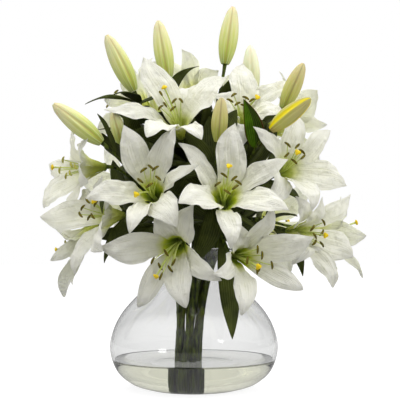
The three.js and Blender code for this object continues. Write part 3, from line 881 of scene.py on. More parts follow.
@dataclass(frozen=True)
class Petal:
    """One petal: its spine, the direction across it and its width.

    Inner petals are broad troughs at the throat and fold back a little past their middle. A
    buckle is (rise, width, slant) of a wave that runs along the blade, a little aslant.
    """

    spine: Bezier
    side: Array
    half_width: float
    inner: bool
    seed: float
    base_half: float = 2.7  # half its width at its foot
    tip_half: float = 0.35  # and at its tip
    widest: float = 0.6  # where it is widest, as a share of its length
    swell: float = 1.6  # higher where it widens later
    thickness: float = 0.62
    cup: float = 0.42  # how deep its trough is, as a share of half its width
    groove: float = 1.7  # half the width of the groove down its middle
    ribs: tuple[float, float] = (0.4, 2.9)  # how high the pressed ribs are, and half their spacing
    ruffle: float = 2.3
    ruffles: tuple[float, float] = (2.6, 6.3)  # waves and ripples along an edge
    buckles: tuple[tuple[float, float, float], ...] = ((0.8, 4.1, 11), (0.55, 2.3, -17))
    droop: float = 0.0  # 1 where the petal hangs straight down
    curl: float = 2.4  # how far the tip rolls back
    sway: float = 2.2  # how far its blade wanders to the sides
    blunt: float = 0.0  # 1 where its end is round and hangs flat
    turned: float = 0.0  # degrees that its blade turns about its spine on the way to the tip

    def width(self, s: Array) -> Array:
        """Works out how wide the petal is.

        Args:
            s: shares of its length.

        Returns:
            Half the width at each.
        """
        widest = self.widest + 0.1 * self.blunt
        rise = np.sin(np.pi / 2 * np.minimum(s / widest, 1)) ** self.swell
        fall = np.cos(np.pi / 2 * ramp(s, widest, 1 - widest))
        fall = fall ** (1.0 - 0.25 * self.droop - 0.3 * self.blunt)
        low = self.base_half + (self.half_width - self.base_half) * rise
        high = self.tip_half + (self.half_width - self.tip_half) * fall
        return np.where(s < widest, low, high)

    def relief(self, s: Array, t: Array, offset: Array) -> Array:
        """Works out how far the blade's points stand off from its spine.

        Args:
            s: the rows' shares of its length, as a column.
            t: the columns' places from edge to edge, from -1 to 1.
            offset: the points' distances from the spine.

        Returns:
            The height of each point.
        """
        middle = np.sin(np.pi * s)  # none at either end
        opened = ramp(s, 0.3, 0.25)  # none in the throat
        depth = self.cup * np.cos(np.pi * np.minimum(s / 1.25, 1)) * (1.0 if self.inner else 0.3)
        trough = self.width(s) * depth * np.abs(t) ** 1.5
        groove = np.exp(-((offset / self.groove) ** 2)) * np.sin(np.pi * s**0.8)
        rib, gap = self.ribs
        ribs = rib * np.cos(offset / gap * np.pi) * middle
        waves, ripples = self.ruffles
        phase = self.seed + np.sign(t) * 1.9
        wave = np.sin(2 * np.pi * (waves + 0.7 * math.sin(self.seed)) * s + phase)
        ripple = np.sin(2 * np.pi * ripples * s + 2.3 * phase) * 0.35
        ruffle = self.ruffle * (self.half_width / WIDE) * np.abs(t) ** 3 * middle * (wave + ripple)
        curl = self.curl * (1 + 0.8 * math.sin(2.7 * self.seed)) + 4.0 * self.droop
        roll = curl * (1 - self.blunt) * ramp(s, 0.78, 0.22) ** 2
        buckle = 0.16 * math.sin(3.3 * self.seed) * offset
        for k, (rise, width, slant) in enumerate(self.buckles, 1):
            buckle = buckle + rise * np.sin(offset / width + slant * s + k * self.seed)
        return trough - groove + ribs + ruffle + buckle * opened - roll

    def add_to(self, draft: Draft, along: int, across: int) -> None:
        """Adds the petal to a draft.

        Args:
            draft: the mesh that it joins.
            along: how many points it has from the throat to the tip.
            across: how many points it has from edge to edge.
        """
        s = 0.5 - 0.5 * np.cos(np.pi * np.linspace(0, 1, along)[:, None] ** 0.9)
        s[0], s[-1] = 0.0, 1.0
        bow = np.pi / 2 * 0.96
        t = np.sin(np.linspace(-1, 1, across) * bow) / math.sin(bow)
        level = unit(np.cross(self.spine.tangents(s[:, 0]), self.side))
        turn = math.radians(self.turned) * ramp(s, 0.3, 0.35)
        side = self.side * np.cos(turn) + level * np.sin(turn)
        up = level * np.cos(turn) - self.side * np.sin(turn)
        uneven = 1 + 0.035 * np.sin(9.0 * s + 2.1 * self.seed + 1.3 * np.sign(t))
        offset = self.width(s) * t * uneven
        height = self.relief(s, t, offset)
        sway = self.sway * math.sin(1.3 * self.seed) * np.sin(2 * np.pi * ramp(s, 0.25, 0.75))
        grid = blade(self.spine.points(s[:, 0]), side, up, offset + sway, height)
        thin = self.thickness / 2 * (1 - 0.55 * np.abs(t) ** 4) * (1 - 0.4 * s)
        draft.sheet(grid, thin, uv_grid(0.5 + 0.5 * t, s), (0, 1))


@dataclass(frozen=True)
class Bloom:
    """A lily: six petals in two whorls on a green receptacle, a pistil and six stamens.

    A petal is (clock, spread, reach, half width): clock is measured from the right, as seen from
    the bloom's front, spread from its axis, and reach from the throat.
    """

    name: str
    stem: int
    throat: tuple[float, float, float]
    turn: float
    lift: float
    petals: tuple[tuple[float, float, float, float], ...] = ()
    roll: float = 0.0  # clock of its first petal, where all six are even
    depth: float = 34.0  # from the throat down to its base
    flare: float = 19.0  # degrees that its tube opens
    layer: float = 2.5  # degrees between the inner petals and the outer ones
    sunk: float = 2.0  # from its base up to the foot of a petal
    root: float = 3.3  # from its axis out to the foot of a petal
    rise: float = 34.0  # how far a petal follows the tube
    sweep: float = 34.0  # how far a petal's end follows its spread
    tip_turn: float = 22.0  # degrees that a petal's end turns down
    splay: float = 11.0  # degrees between a filament and the axis
    filament: float = 54.0
    pistil: float = 70.0
    stigma: tuple[float, float] = (0.0, 9.0)  # how far its knob leans to the right and up
    cluster: tuple[float, float] = (0.0, 0.0)  # how far the anthers lean, as a group
    blunt: float = 0.0  # how round the ends of its petals are
    turned: tuple[float, ...] = (0.0,) * 6  # degrees that each petal's blade turns
    young: bool = False  # its anthers are still pale
    pale: bool = False  # the dye in its throat is thin

    @property
    def facing(self) -> Facing:
        """The way the bloom looks."""
        return Facing(self.turn, self.lift)

    @property
    def base(self) -> Array:
        """The point where the pedicel ends."""
        return vec(*self.throat) - self.depth * self.facing.axis

    def whorls(self) -> tuple[tuple[float, float, float, float], ...]:
        """Lists the petals, which are even where none are given.

        Returns:
            The six petals, inner and outer in turn.
        """
        even = (
            (
                self.roll + 60 * k,
                68 + 7 * math.sin(2.4 * k + self.roll),
                75 + 3 * math.cos(1.7 * k + self.roll),
                SLIM if k % 2 else WIDE,
            )
            for k in range(6)
        )
        return self.petals or tuple(even)

    def petal(self, k: int) -> Petal:
        """Shapes one petal.

        Args:
            k: its number, which is even for the inner ones.

        Returns:
            The petal.
        """
        clock, spread, reach, half = self.whorls()[k]
        facing = self.facing
        axis, out = facing.axis, facing.outward(clock)
        inner = k % 2 == 0
        start = self.base + axis * self.sunk + out * self.root
        tip = vec(*self.throat) + leant(axis, out, spread) * reach
        flare = self.flare + (-self.layer if inner else self.layer)
        first = start + leant(axis, out, flare) * self.rise
        second = tip - leant(axis, out, spread + self.tip_turn) * self.sweep
        return Petal(
            Bezier((start, first, second, tip)),
            np.cross(axis, out),
            half,
            inner,
            seed=clock * 0.37 + self.turn * 0.11 + k,
            droop=max(0.0, -float(out[2])),
            blunt=self.blunt,
            turned=self.turned[k],
        )

    def build_petals(self) -> bpy.types.Object:
        """Builds the petals and the receptacle that they sit on.

        Returns:
            The piece.
        """
        draft = Draft()
        for k in range(6):
            self.petal(k).add_to(draft, *(FRONT_GRID if abs(self.turn) <= 90 else BACK_GRID))
        heights, radii = np.array(RECEPTACLE).T
        draft.tube(self.base + heights[:, None] * self.facing.axis, radii, 16, 2)
        inside = Finish.PETAL_PALE if self.pale else Finish.PETAL
        finishes = [inside, Finish.PETAL_BACK, Finish.RECEPTACLE]
        return draft.build("lily_" + self.name, finishes, "bloom_" + self.name, "petal")

    def build_stamens(self) -> bpy.types.Object:
        """Builds the pistil, the six filaments and their anthers.

        Returns:
            The piece.
        """
        facing = self.facing
        axis = facing.axis
        foot = self.base + axis * 3.9
        draft = Draft()
        shares = np.linspace(0, 1, 15)
        bend = ramp(shares, 0.2, 0.8) ** 1.6
        spine = foot + np.outer(shares * self.pistil, axis) + np.outer(bend, facing.aside(*self.stigma))
        ovary, style = [2.3, 2.2], [1.1, 0.85, 1.3]
        draft.tube(spine, np.interp(shares, [0, 0.1, 0.25, 0.9, 1], ovary + style), 10, 0)
        self._stigma(draft, spine[-1], unit(spine[-1] - spine[-2]))
        first = self.petals[0][0] if self.petals else self.roll
        for k in range(6):
            out = facing.outward(60 * k + 30 + first)
            along = leant(axis, out, self.splay + 4 * math.sin(5 * k + self.turn))
            length = self.filament + 7 * math.cos(3 * k + self.turn)
            cross = leant(facing.upper, facing.right, math.degrees(0.9 * math.sin(3.1 * k + self.turn)))
            bow = np.sin(np.pi * shares) * 1.2
            line = foot + axis + np.outer(shares * (length + 1.5), along) - np.outer(bow, out)
            line = line + np.outer(bend, facing.aside(*self.cluster))
            draft.tube(line, np.interp(shares, [0, 1], [0.85, 0.5]), 8, 0)
            self._anther(draft, line[-1], cross, along)
        anther = Finish.ANTHER_YOUNG if self.young else Finish.ANTHER
        finishes = [Finish.FILAMENT, anther, Finish.STIGMA]
        return draft.build("heart_" + self.name, finishes, "stamens_" + self.name, "stamen")

    @staticmethod
    def _anther(draft: Draft, middle: Array, cross: Array, along: Array) -> None:
        """Adds an anther: a bent spindle with a seam down it, hung by its middle.

        Args:
            draft: the mesh that it joins.
            middle: where its filament ends.
            cross: the way that it lies.
            along: the way that its filament points.
        """
        half_length, radius, bow, sides = 4.7, 1.4, 1.4, 12
        shares = np.linspace(-1, 1, 13)
        line = middle + np.outer(shares * half_length, cross) + np.outer((1 - shares**2) * bow, along)
        spindle = radius * np.sqrt(np.clip(1.02 - shares**2, 0.02, 1)) ** 0.8
        radii = spindle[:, None] * (1 - 0.16 * np.abs(np.cos(circle(sides))) ** 6)
        draft.tube(line, radii, sides, 1)

    @staticmethod
    def _stigma(draft: Draft, top: Array, along: Array) -> None:
        """Adds the three-lobed knob at the pistil's end.

        Args:
            draft: the mesh that it joins.
            top: where the pistil ends.
            along: the way that it points.
        """
        length, sunk, radius, sides = 3.2, 0.6, 3.7, 18
        shares = np.linspace(0, 1, 9)
        profile = radius * np.sin(np.pi * (0.12 + 0.86 * shares)) ** 0.6
        radii = profile[:, None] * (0.86 + 0.16 * np.cos(3 * circle(sides)))
        draft.tube(top + np.outer(shares * length - sunk, along), radii, sides, 2)


BLOOMS = (
    Bloom("centre", 0, (35, -115, 225), 5, 28, (
        (332, 70, 76, WIDE), (23, 69, 78, SLIM), (81, 64, 79, WIDE),
        (136, 70, 76, SLIM), (212, 58, 75, WIDE), (270, 76, 77, SLIM)),
        stigma=(0, 9), cluster=(3, -4)),
    Bloom("left", 1, (-48, -108, 230), -14, 22, (
        (63, 64, 75, 14), (7, 58, 75, 9), (308, 66, 75, WIDE),
        (266, 60, 75, SLIM), (203, 60, 73, 15), (114, 67, 77, 16)),
        pistil=64, stigma=(-2, -22), cluster=(8, 6)),
    Bloom("upper", 2, (-19, -78, 314), -10, 40, (
        (40, 76, 74, WIDE), (84, 96, 62, SLIM), (126, 56, 80, WIDE),
        (188, 74, 82, SLIM), (254, 64, 76, 15), (302, 72, 76, SLIM)),
        stigma=(-8, 3), cluster=(-4, -7), pale=True),
    Bloom("low_left", 1, (-22, -112, 166), -15, -14, (
        (292, 52, 73, 15), (336, 60, 75, SLIM), (60, 82, 58, 15),
        (108, 84, 47, SLIM), (174, 70, 80, WIDE), (238, 70, 77, SLIM)),
        pistil=64, stigma=(-10, -22), cluster=(-4, -13)),
    Bloom("low_right", 0, (55, -112, 155), 22, -6, (
        (21, 66, 79, WIDE), (74, 62, 70, SLIM), (112, 76, 48, SLIM),
        (192, 50, 70, SLIM), (251, 52, 72, 13), (333, 71, 76, SLIM)),
        stigma=(-2, -4), cluster=(6, -2)),
    Bloom("right", 3, (110, -75, 258), 30, 14, (
        (342, 84, 74, WIDE), (37, 84, 74, SLIM), (80, 87, 73, WIDE),
        (150, 70, 74, SLIM), (225, 76, 70, 14), (262, 54, 75, SLIM)),
        pistil=66, stigma=(-16, 3), cluster=(-10, 6), pale=True),
    Bloom("low_side_right", 3, (130, -60, 183), 40, -5, (
        (339, 81, 75, WIDE), (40, 80, 74, SLIM), (88, 66, 46, 13),
        (128, 78, 54, SLIM), (230, 74, 48, 14), (300, 78, 74, SLIM)),
        pistil=64, stigma=(-8, 0), cluster=(-12, 0), pale=True),
    Bloom("low_side_left", 4, (-104, -72, 203), -45, 0, (
        (181, 62, 77, WIDE), (146, 96, 56, SLIM), (85, 84, 46, 13),
        (30, 74, 44, SLIM), (319, 55, 74, WIDE), (250, 72, 74, SLIM)),
        pistil=58, stigma=(22, 14), cluster=(8, 4), pale=True),
    Bloom("side_left", 4, (-133, -45, 258), -65, -5, (
        (217, 63, 77, WIDE), (278, 78, 60, SLIM), (340, 80, 56, 14),
        (30, 84, 60, SLIM), (130, 98, 66, WIDE), (176, 76, 72, SLIM)),
        pistil=60, stigma=(-2, 3), cluster=(9, 0), filament=44, young=True, pale=True),
    Bloom("upper_right", 2, (57, -55, 322), 8, 42, (
        (85, 77, 75, WIDE), (38, 81, 75, SLIM), (334, 66, 54, 15),
        (262, 96, 50, SLIM), (196, 70, 44, 14), (142, 84, 46, SLIM)),
        pistil=61, stigma=(10, -11), cluster=(-8, -12), pale=True),
    Bloom("far_right", 5, (112, 30, 320), 105, 22, (
        (40, 68, 76, WIDE), (100, 74, 66, SLIM), (160, 64, 74, WIDE),
        (205, 52, 58, SLIM), (270, 68, 74, WIDE), (330, 64, 74, SLIM))),
    Bloom("far_top_left", 6, (-74, 38, 346), -120, 30, (
        (50, 82, 62, 14), (110, 70, 66, SLIM), (170, 66, 74, WIDE),
        (230, 66, 74, SLIM), (290, 74, 74, WIDE), (350, 68, 48, SLIM)),
        pistil=56, stigma=(0, -18), cluster=(0, -9)),
    Bloom("far_low_left", 4, (-138, 4, 174), -95, -38, (
        (300, 45, 72, 9), (0, 35, 44, 8), (60, 70, 36, 10),
        (120, 72, 50, SLIM), (180, 62, 66, 13), (240, 42, 58, 9)),
        pistil=58, filament=38, blunt=0.9, turned=(40, 0, 0, 0, 0, -20), young=True, pale=True),
    Bloom("far_low_right", 3, (158, 24, 186), 100, -8, (
        (0, 68, 76, WIDE), (60, 66, 62, SLIM), (120, 61, 46, 14),
        (180, 50, 62, 14), (240, 48, 76, 9), (300, 64, 74, SLIM)),
        stigma=(0, 17), pale=True),
    Bloom("back_top", 6, (4, 44, 366), 175, 62, (
        (22, 68, 66, WIDE), (74, 70, 60, SLIM), (132, 80, 44, 15),
        (192, 68, 74, SLIM), (262, 66, 75, WIDE), (318, 70, 74, SLIM)),
        pistil=52, stigma=(0, -16), cluster=(0, -8)),
    Bloom("back_top_right", 5, (62, 92, 310), 154, 32, roll=0),
    Bloom("back_left", 6, (-88, 96, 240), -138, 5, roll=15),
    Bloom("back_middle", 5, (4, 122, 244), 178, 10, roll=30),
    Bloom("back_low_right", 5, (96, 98, 196), 136, -6, roll=10),
)


# ---------------------------------------------------------------- buds


@dataclass(frozen=True)
class Bud:
    """A closed bud: three petals folded edge to edge, each with a ridge down its back."""

    name: str
    stem: int
    foot: tuple[float, float, float]
    tip: tuple[float, float, float]
    finish: Finish = Finish.BUD
    spin: float = 0.0  # degrees that its seams are turned round its length
    full_length: float = 72.0
    radius: float = 11.5
    groove: float = 0.15  # depth of its seams, as a share of its radius
    seam_width: float = 0.26  # in U, where 1 is a ridge
    ridge: float = 0.035  # height of its ridges, as a share of its radius
    ridge_width: float = 0.07  # as a share of a petal
    hollow: tuple[float, float] = (0.62, 0.12)  # beside a ridge: its place and its width, in U
    sides: int = 60
    rings: int = 30

    @property
    def base(self) -> Array:
        """The point where the pedicel ends."""
        return vec(*self.foot)

    @property
    def axis(self) -> Array:
        """The direction from the bud's foot to its tip."""
        return unit(vec(*self.tip) - self.base)

    def build(self) -> bpy.types.Object:
        """Builds the bud.

        Returns:
            The piece.
        """
        along = vec(*self.tip) - self.base
        scale = float(np.linalg.norm(along)) / self.full_length
        shares = 0.5 - 0.5 * np.cos(np.pi * np.linspace(0, 1, self.rings))[:, None]
        swell = np.sin(np.pi * np.minimum(0.1 + 0.82 * shares**0.9, 1)) ** 0.75
        swell = swell * np.clip((1.012 - shares) / 0.1, 0, 1) ** 0.35
        thirds = (circle(self.sides) - math.radians(self.spin)) * 3 / (2 * math.pi)
        from_seam = 2 * np.abs((thirds + 0.5) % 1 - 0.5)
        seam = np.clip(1 - from_seam / self.seam_width, 0, 1) ** 0.8
        ridge = np.exp(-(((thirds % 1 - 0.5) / self.ridge_width) ** 2))
        place, width = self.hollow
        hollow = np.exp(-(((from_seam - place) / width) ** 2))
        depth = np.sin(np.pi * np.clip(shares, 0, 1) ** 0.8)
        section = 1 - depth * (self.groove * seam - self.ridge * (ridge - 0.8 * hollow))
        radii = self.radius * swell * (0.4 + 0.6 * scale) * section
        draft = Draft()
        draft.tube(self.base + shares * along, radii, self.sides, 0, uv_grid(from_seam, shares))
        return draft.build("closed_" + self.name, [self.finish], self.name, "bud")


BUDS = (
    Bud("bud_1", 6, (-72, -10, 354), (-104, -22, 419)),
    Bud("bud_2", 2, (-31, -12, 368), (-43, -14, 438)),
    Bud("bud_3", 2, (37, -12, 386), (47, -10, 456)),
    Bud("bud_4", 5, (72, 30, 354), (70, 36, 419), Finish.BUD_PALE),
    Bud("bud_5", 5, (104, -42, 328), (127, -48, 380), Finish.BUD_TAN),
    Bud("bud_6", 3, (86, -95, 297), (127, -118, 328), Finish.BUD_OPENING, spin=45),
    Bud("bud_7", 0, (27, -96, 283), (31, -104, 331), Finish.BUD_TAN),
    Bud("bud_8", 4, (-103, -82, 284), (-155, -98, 325)),
    Bud("bud_9", 1, (-82, -40, 284), (-94, -44, 324)),
    Bud("bud_10", 6, (-40, 98, 326), (-56, 120, 386)),
)


# ---------------------------------------------------------------- stems and leaves


STALK_GRID, PEDICEL_GRID = (30, 70), (12, 18)  # sides and rings
LEAF_GRID, HEART_GRID = (30, 9), (18, 7)  # points along and across a leaf


@dataclass(frozen=True)
class Leaf:
    """A leaf on a curve from its root, bent towards a point, to its tip."""

    root: Array
    over: Array
    tip: Array
    half: float
    seed: float = 0.0
    bright: bool = False
    face: tuple[float, float, float] = (0.0, 0.0, 1.0)  # the way its upper side looks
    slender: float = 0.9  # lower where it is widest nearer its root
    across: tuple[float, float, float] | None = None  # the way from edge to edge, if it is given
    thickness: float = 0.6
    base_half: float = 1.0
    tip_half: float = 0.25
    fold: float = 0.2  # how deep it is folded, as a share of half its width
    wave: float = 0.9  # how high its edges wave
    waves: float = 1.7  # along an edge

    def grid(self, along: int, across: int, start: float = 0.0) -> tuple[Array, Array]:
        """Returns the leaf's middle surface, folded along its midrib and waved at its edges.

        Args:
            along: how many rows of points it has from the root to the tip.
            across: how many points there are in a row.
            start: the share of its length where the rows begin.

        Returns:
            The points, and their UVs.
        """
        s = np.linspace(start, 1, along)[:, None]
        t = np.linspace(-1, 1, across)
        spine = Bezier((self.root, self.over, self.tip))
        if self.across:
            side = unit(vec(*self.across))
        else:
            side = unit(np.cross(self.over - self.root, vec(*self.face)))
        up = unit(np.cross(spine.tangents(s[:, 0]), side))
        low = self.base_half * (1 - s) + self.tip_half * s
        half = low + (self.half - low) * np.sin(np.pi * s**self.slender) ** 0.9
        fold = self.fold * half * (np.abs(t) ** 1.3 - 0.35)
        wave = np.sin(2 * np.pi * self.waves * s + self.seed + np.sign(t)) * t**2 * np.sin(np.pi * s)
        points = blade(spine.points(s[:, 0]), side, up, half * t, fold + self.wave * wave)
        return points, uv_grid(0.5 + 0.5 * t, s)

    def add_to(self, draft: Draft, along: int, across: int) -> None:
        """Adds the leaf to a draft as a thin closed sheet.

        Args:
            draft: the mesh that it joins.
            along: how many rows of points it has.
            across: how many points there are in a row.
        """
        points, uvs = self.grid(along, across)
        slot = 2 if self.bright else 1
        draft.sheet(points, np.full(points.shape[:2], self.thickness / 2), uvs, (slot, slot))


@dataclass(frozen=True)
class SeenLeaf:
    """A leaf that the front shows: the point that it grows nearest to, its spine and width."""

    stem: int
    near: tuple[float, float, float]
    over: tuple[float, float, float]
    tip: tuple[float, float, float]
    half: float
    bright: bool = False
    slender: float = 0.9
    across: tuple[float, float, float] | None = None


SEEN_LEAVES = (
    SeenLeaf(0, (32, -60, 184), (43, -88, 117), (42, -112, 68), 12),
    SeenLeaf(3, (78, -62, 286), (69, -95, 310), (55, -106, 329), 11, bright=True, slender=0.62),
    SeenLeaf(0, (21, -50, 215), (27, -78, 179), (-5, -82, 145), 13),
    SeenLeaf(3, (53, -55, 260), (77, -70, 268), (96, -60, 305), 14),
    SeenLeaf(2, (14, -30, 279), (19, -50, 302), (14, -60, 334), 13),
    SeenLeaf(2, (-26, -20, 344), (-26, -20, 377), (6, -20, 382), 7),
    SeenLeaf(6, (-53, -10, 343), (-73, -30, 357), (-93, -50, 343), 9),
    SeenLeaf(6, (-60, -20, 335), (-95, -45, 352), (-125, -56, 331), 4, across=(0.1, 0.75, 0.6)),
    SeenLeaf(1, (-49, -40, 292), (-61, -60, 308), (-82, -70, 321), 13),
    SeenLeaf(1, (-76, -50, 263), (-86, -70, 274), (-103, -80, 295), 12),
    SeenLeaf(4, (-61, -60, 227), (-108, -95, 245), (-98, -118, 203), 6),
    SeenLeaf(4, (-84, -62, 278), (-94, -92, 303), (-107, -92, 315), 3.5),
    SeenLeaf(1, (-52, -50, 180), (-100, -60, 189), (-101, -66, 149), 10, across=(-0.4, 0.2, 0.9)),
    SeenLeaf(1, (-52, -40, 182), (-90, -45, 178), (-124, -50, 183), 9, across=(0.1, 0.2, 0.97)),
    SeenLeaf(0, (53, -50, 215), (66, -70, 207), (77, -75, 175), 14),
    SeenLeaf(3, (79, -40, 250), (101, -60, 241), (120, -75, 220), 11),
    SeenLeaf(3, (79, -40, 203), (99, -55, 212), (118, -60, 202), 9),
    SeenLeaf(3, (87, -20, 175), (125, -22, 178), (127, -32, 133), 9, across=(0.75, 0.1, 0.65)),
    SeenLeaf(1, (3, -40, 215), (-4, -60, 230), (-29, -70, 225), 13),
    SeenLeaf(2, (41, -10, 333), (38, -30, 349), (44, -30, 366), 8),
)


@dataclass(frozen=True)
class Growth:
    """How leaves grow from the stems: sizes, leans and the order in which turns are tried."""

    half_width: float = 12.0
    lengths: tuple[float, ...] = (88.0, 64.0)
    leans: tuple[float, ...] = (58.0, 80.0)  # degrees from the limb
    droop: float = 0.22  # of a tip, as a share of the length
    golden: float = 137.5  # degrees from one leaf to the next
    turns: int = 8  # tried round the limb
    every: float = 78.0  # along a limb
    lowest: float = 172.0  # of a root
    roots: float = 94.0  # how far from the vase's axis leaves of the heart may grow
    reach: float = 118.0  # of a tip from the vase's axis
    tips: tuple[float, float] = (166.0, 335.0)  # lowest and highest

    def tries(self, root: Array, along: Array, count: int) -> list[Leaf]:
        """Lists the leaves that may grow from a point of a limb.

        Args:
            root: the point of the limb.
            along: the limb's direction there.
            count: the leaf's number, which turns it.

        Returns:
            The leaves, the first choice first.
        """
        made = []
        across = unit(np.cross(along, vec(0, 0.3, 1)))
        lowest, highest = self.tips
        for length, lean, j in product(self.lengths, self.leans, range(self.turns)):
            turn = self.golden * count + 360 / self.turns * j
            out = leant(across, np.cross(along, across), turn)
            towards = leant(along, out, lean)
            tip = root + towards * length - Z * length * self.droop
            if math.hypot(tip[0], tip[1]) > self.reach or not lowest <= tip[2] <= highest:
                continue
            half = self.half_width * (0.6 + 0.4 * length / self.lengths[0])
            made.append(Leaf(root, root + towards * length * 0.5, tip, half, count * 1.7))
        return made


OUTER = Growth()
HEART = Growth(11.0, lengths=(72.0, 54.0, 38.0), leans=(40.0, 65.0, 90.0), reach=104.0, every=13.0)


@dataclass
class Thicket:
    """What stands in the bouquet already, which a new leaf has to clear."""

    bodies: list[tuple[Array, Array, BVHTree]] = field(default_factory=list)

    @staticmethod
    def _body(points: Array, faces: list[tuple[int, ...]]) -> tuple[Array, Array, BVHTree]:
        """Returns a mesh's lowest and highest corner and its tree of faces."""
        return points.min(axis=0), points.max(axis=0), BVHTree.FromPolygons(points.tolist(), faces)

    def add_piece(self, piece: bpy.types.Object) -> None:
        """Adds a piece that is built."""
        points = np.array([v.co for v in piece.data.vertices]) / MM
        self.bodies.append(self._body(points, [tuple(face.vertices) for face in piece.data.polygons]))

    def add_leaf(self, leaf: Leaf) -> None:
        """Adds a leaf that has its place."""
        self.bodies.append(self._leaf_body(leaf))

    def _leaf_body(self, leaf: Leaf) -> tuple[Array, Array, BVHTree]:
        """Makes the coarse body of a leaf's blade, without its foot.

        Args:
            leaf: the leaf.

        Returns:
            Its lowest and highest corner and its tree of faces.
        """
        rows, columns = 9, 3
        points, _ = leaf.grid(rows, columns, 0.16)
        return self._body(points.reshape(-1, 3), grid_faces(rows, columns).tolist())

    def clears(self, leaf: Leaf) -> bool:
        """Tells whether there is room for a leaf.

        Args:
            leaf: the leaf.

        Returns:
            True where it touches nothing that stands there.
        """
        low, high, tree = self._leaf_body(leaf)
        near = (body for lo, hi, body in self.bodies if np.all(lo <= high) and np.all(low <= hi))
        return not any(tree.overlap(body) for body in near)


@dataclass(frozen=True)
class Limb:
    """A stem or a pedicel: its curve, its radius and in how many straight steps its solid runs."""

    curve: Bezier
    radius: float
    steps: int
    swell: float = 0.0
    furrow: float = 0.07  # depth of its furrows, as a share of its radius
    knot: float = 0.07  # height of its knots, likewise
    knots: int = 9

    def seat(self, share: float) -> tuple[Array, Array]:
        """Finds a seat on the solid.

        Args:
            share: the share of the solid's length, which runs in straight steps.

        Returns:
            The point, and the solid's direction there.
        """
        points = self.curve.spaced(self.steps)
        k = min(int(share * self.steps), self.steps - 1)
        along = points[k + 1] - points[k]
        return points[k] + along * (share * self.steps - k), unit(along)

    def on_curve(self, point: Array) -> Array:
        """Returns the curve's point that lies nearest to a point."""
        line = self.curve.points(np.linspace(0, 1, 201))
        return line[np.argmin(np.linalg.norm(line - point, axis=1))]

    def add_to(self, draft: Draft, sides: int, rings: int) -> None:
        """Adds the limb to a draft: a furrowed tube with knots, which may swell at its end.

        Args:
            draft: the mesh that it joins.
            sides: how many sides it has.
            rings: how many rings of vertices it has.
        """
        shares = np.linspace(0, 1, rings)[:, None]
        angles = circle(sides)
        radii = self.radius + self.swell * ramp(shares, 0.86, 0.14) ** 2
        phase = float(self.curve.controls[-1][0])
        furrow = np.cos(5 * angles + 7 * shares + phase) + 0.6 * np.cos(9 * angles - 16 * shares)
        knot = np.exp(-((((shares * self.knots + phase) % 1 - 0.5) / 0.07) ** 2))
        radii = radii * (1 - self.furrow * (1.6 - furrow) + self.knot * knot)
        draft.tube(self.curve.points(self.curve.at_share(shares[:, 0])), radii, sides, 0)


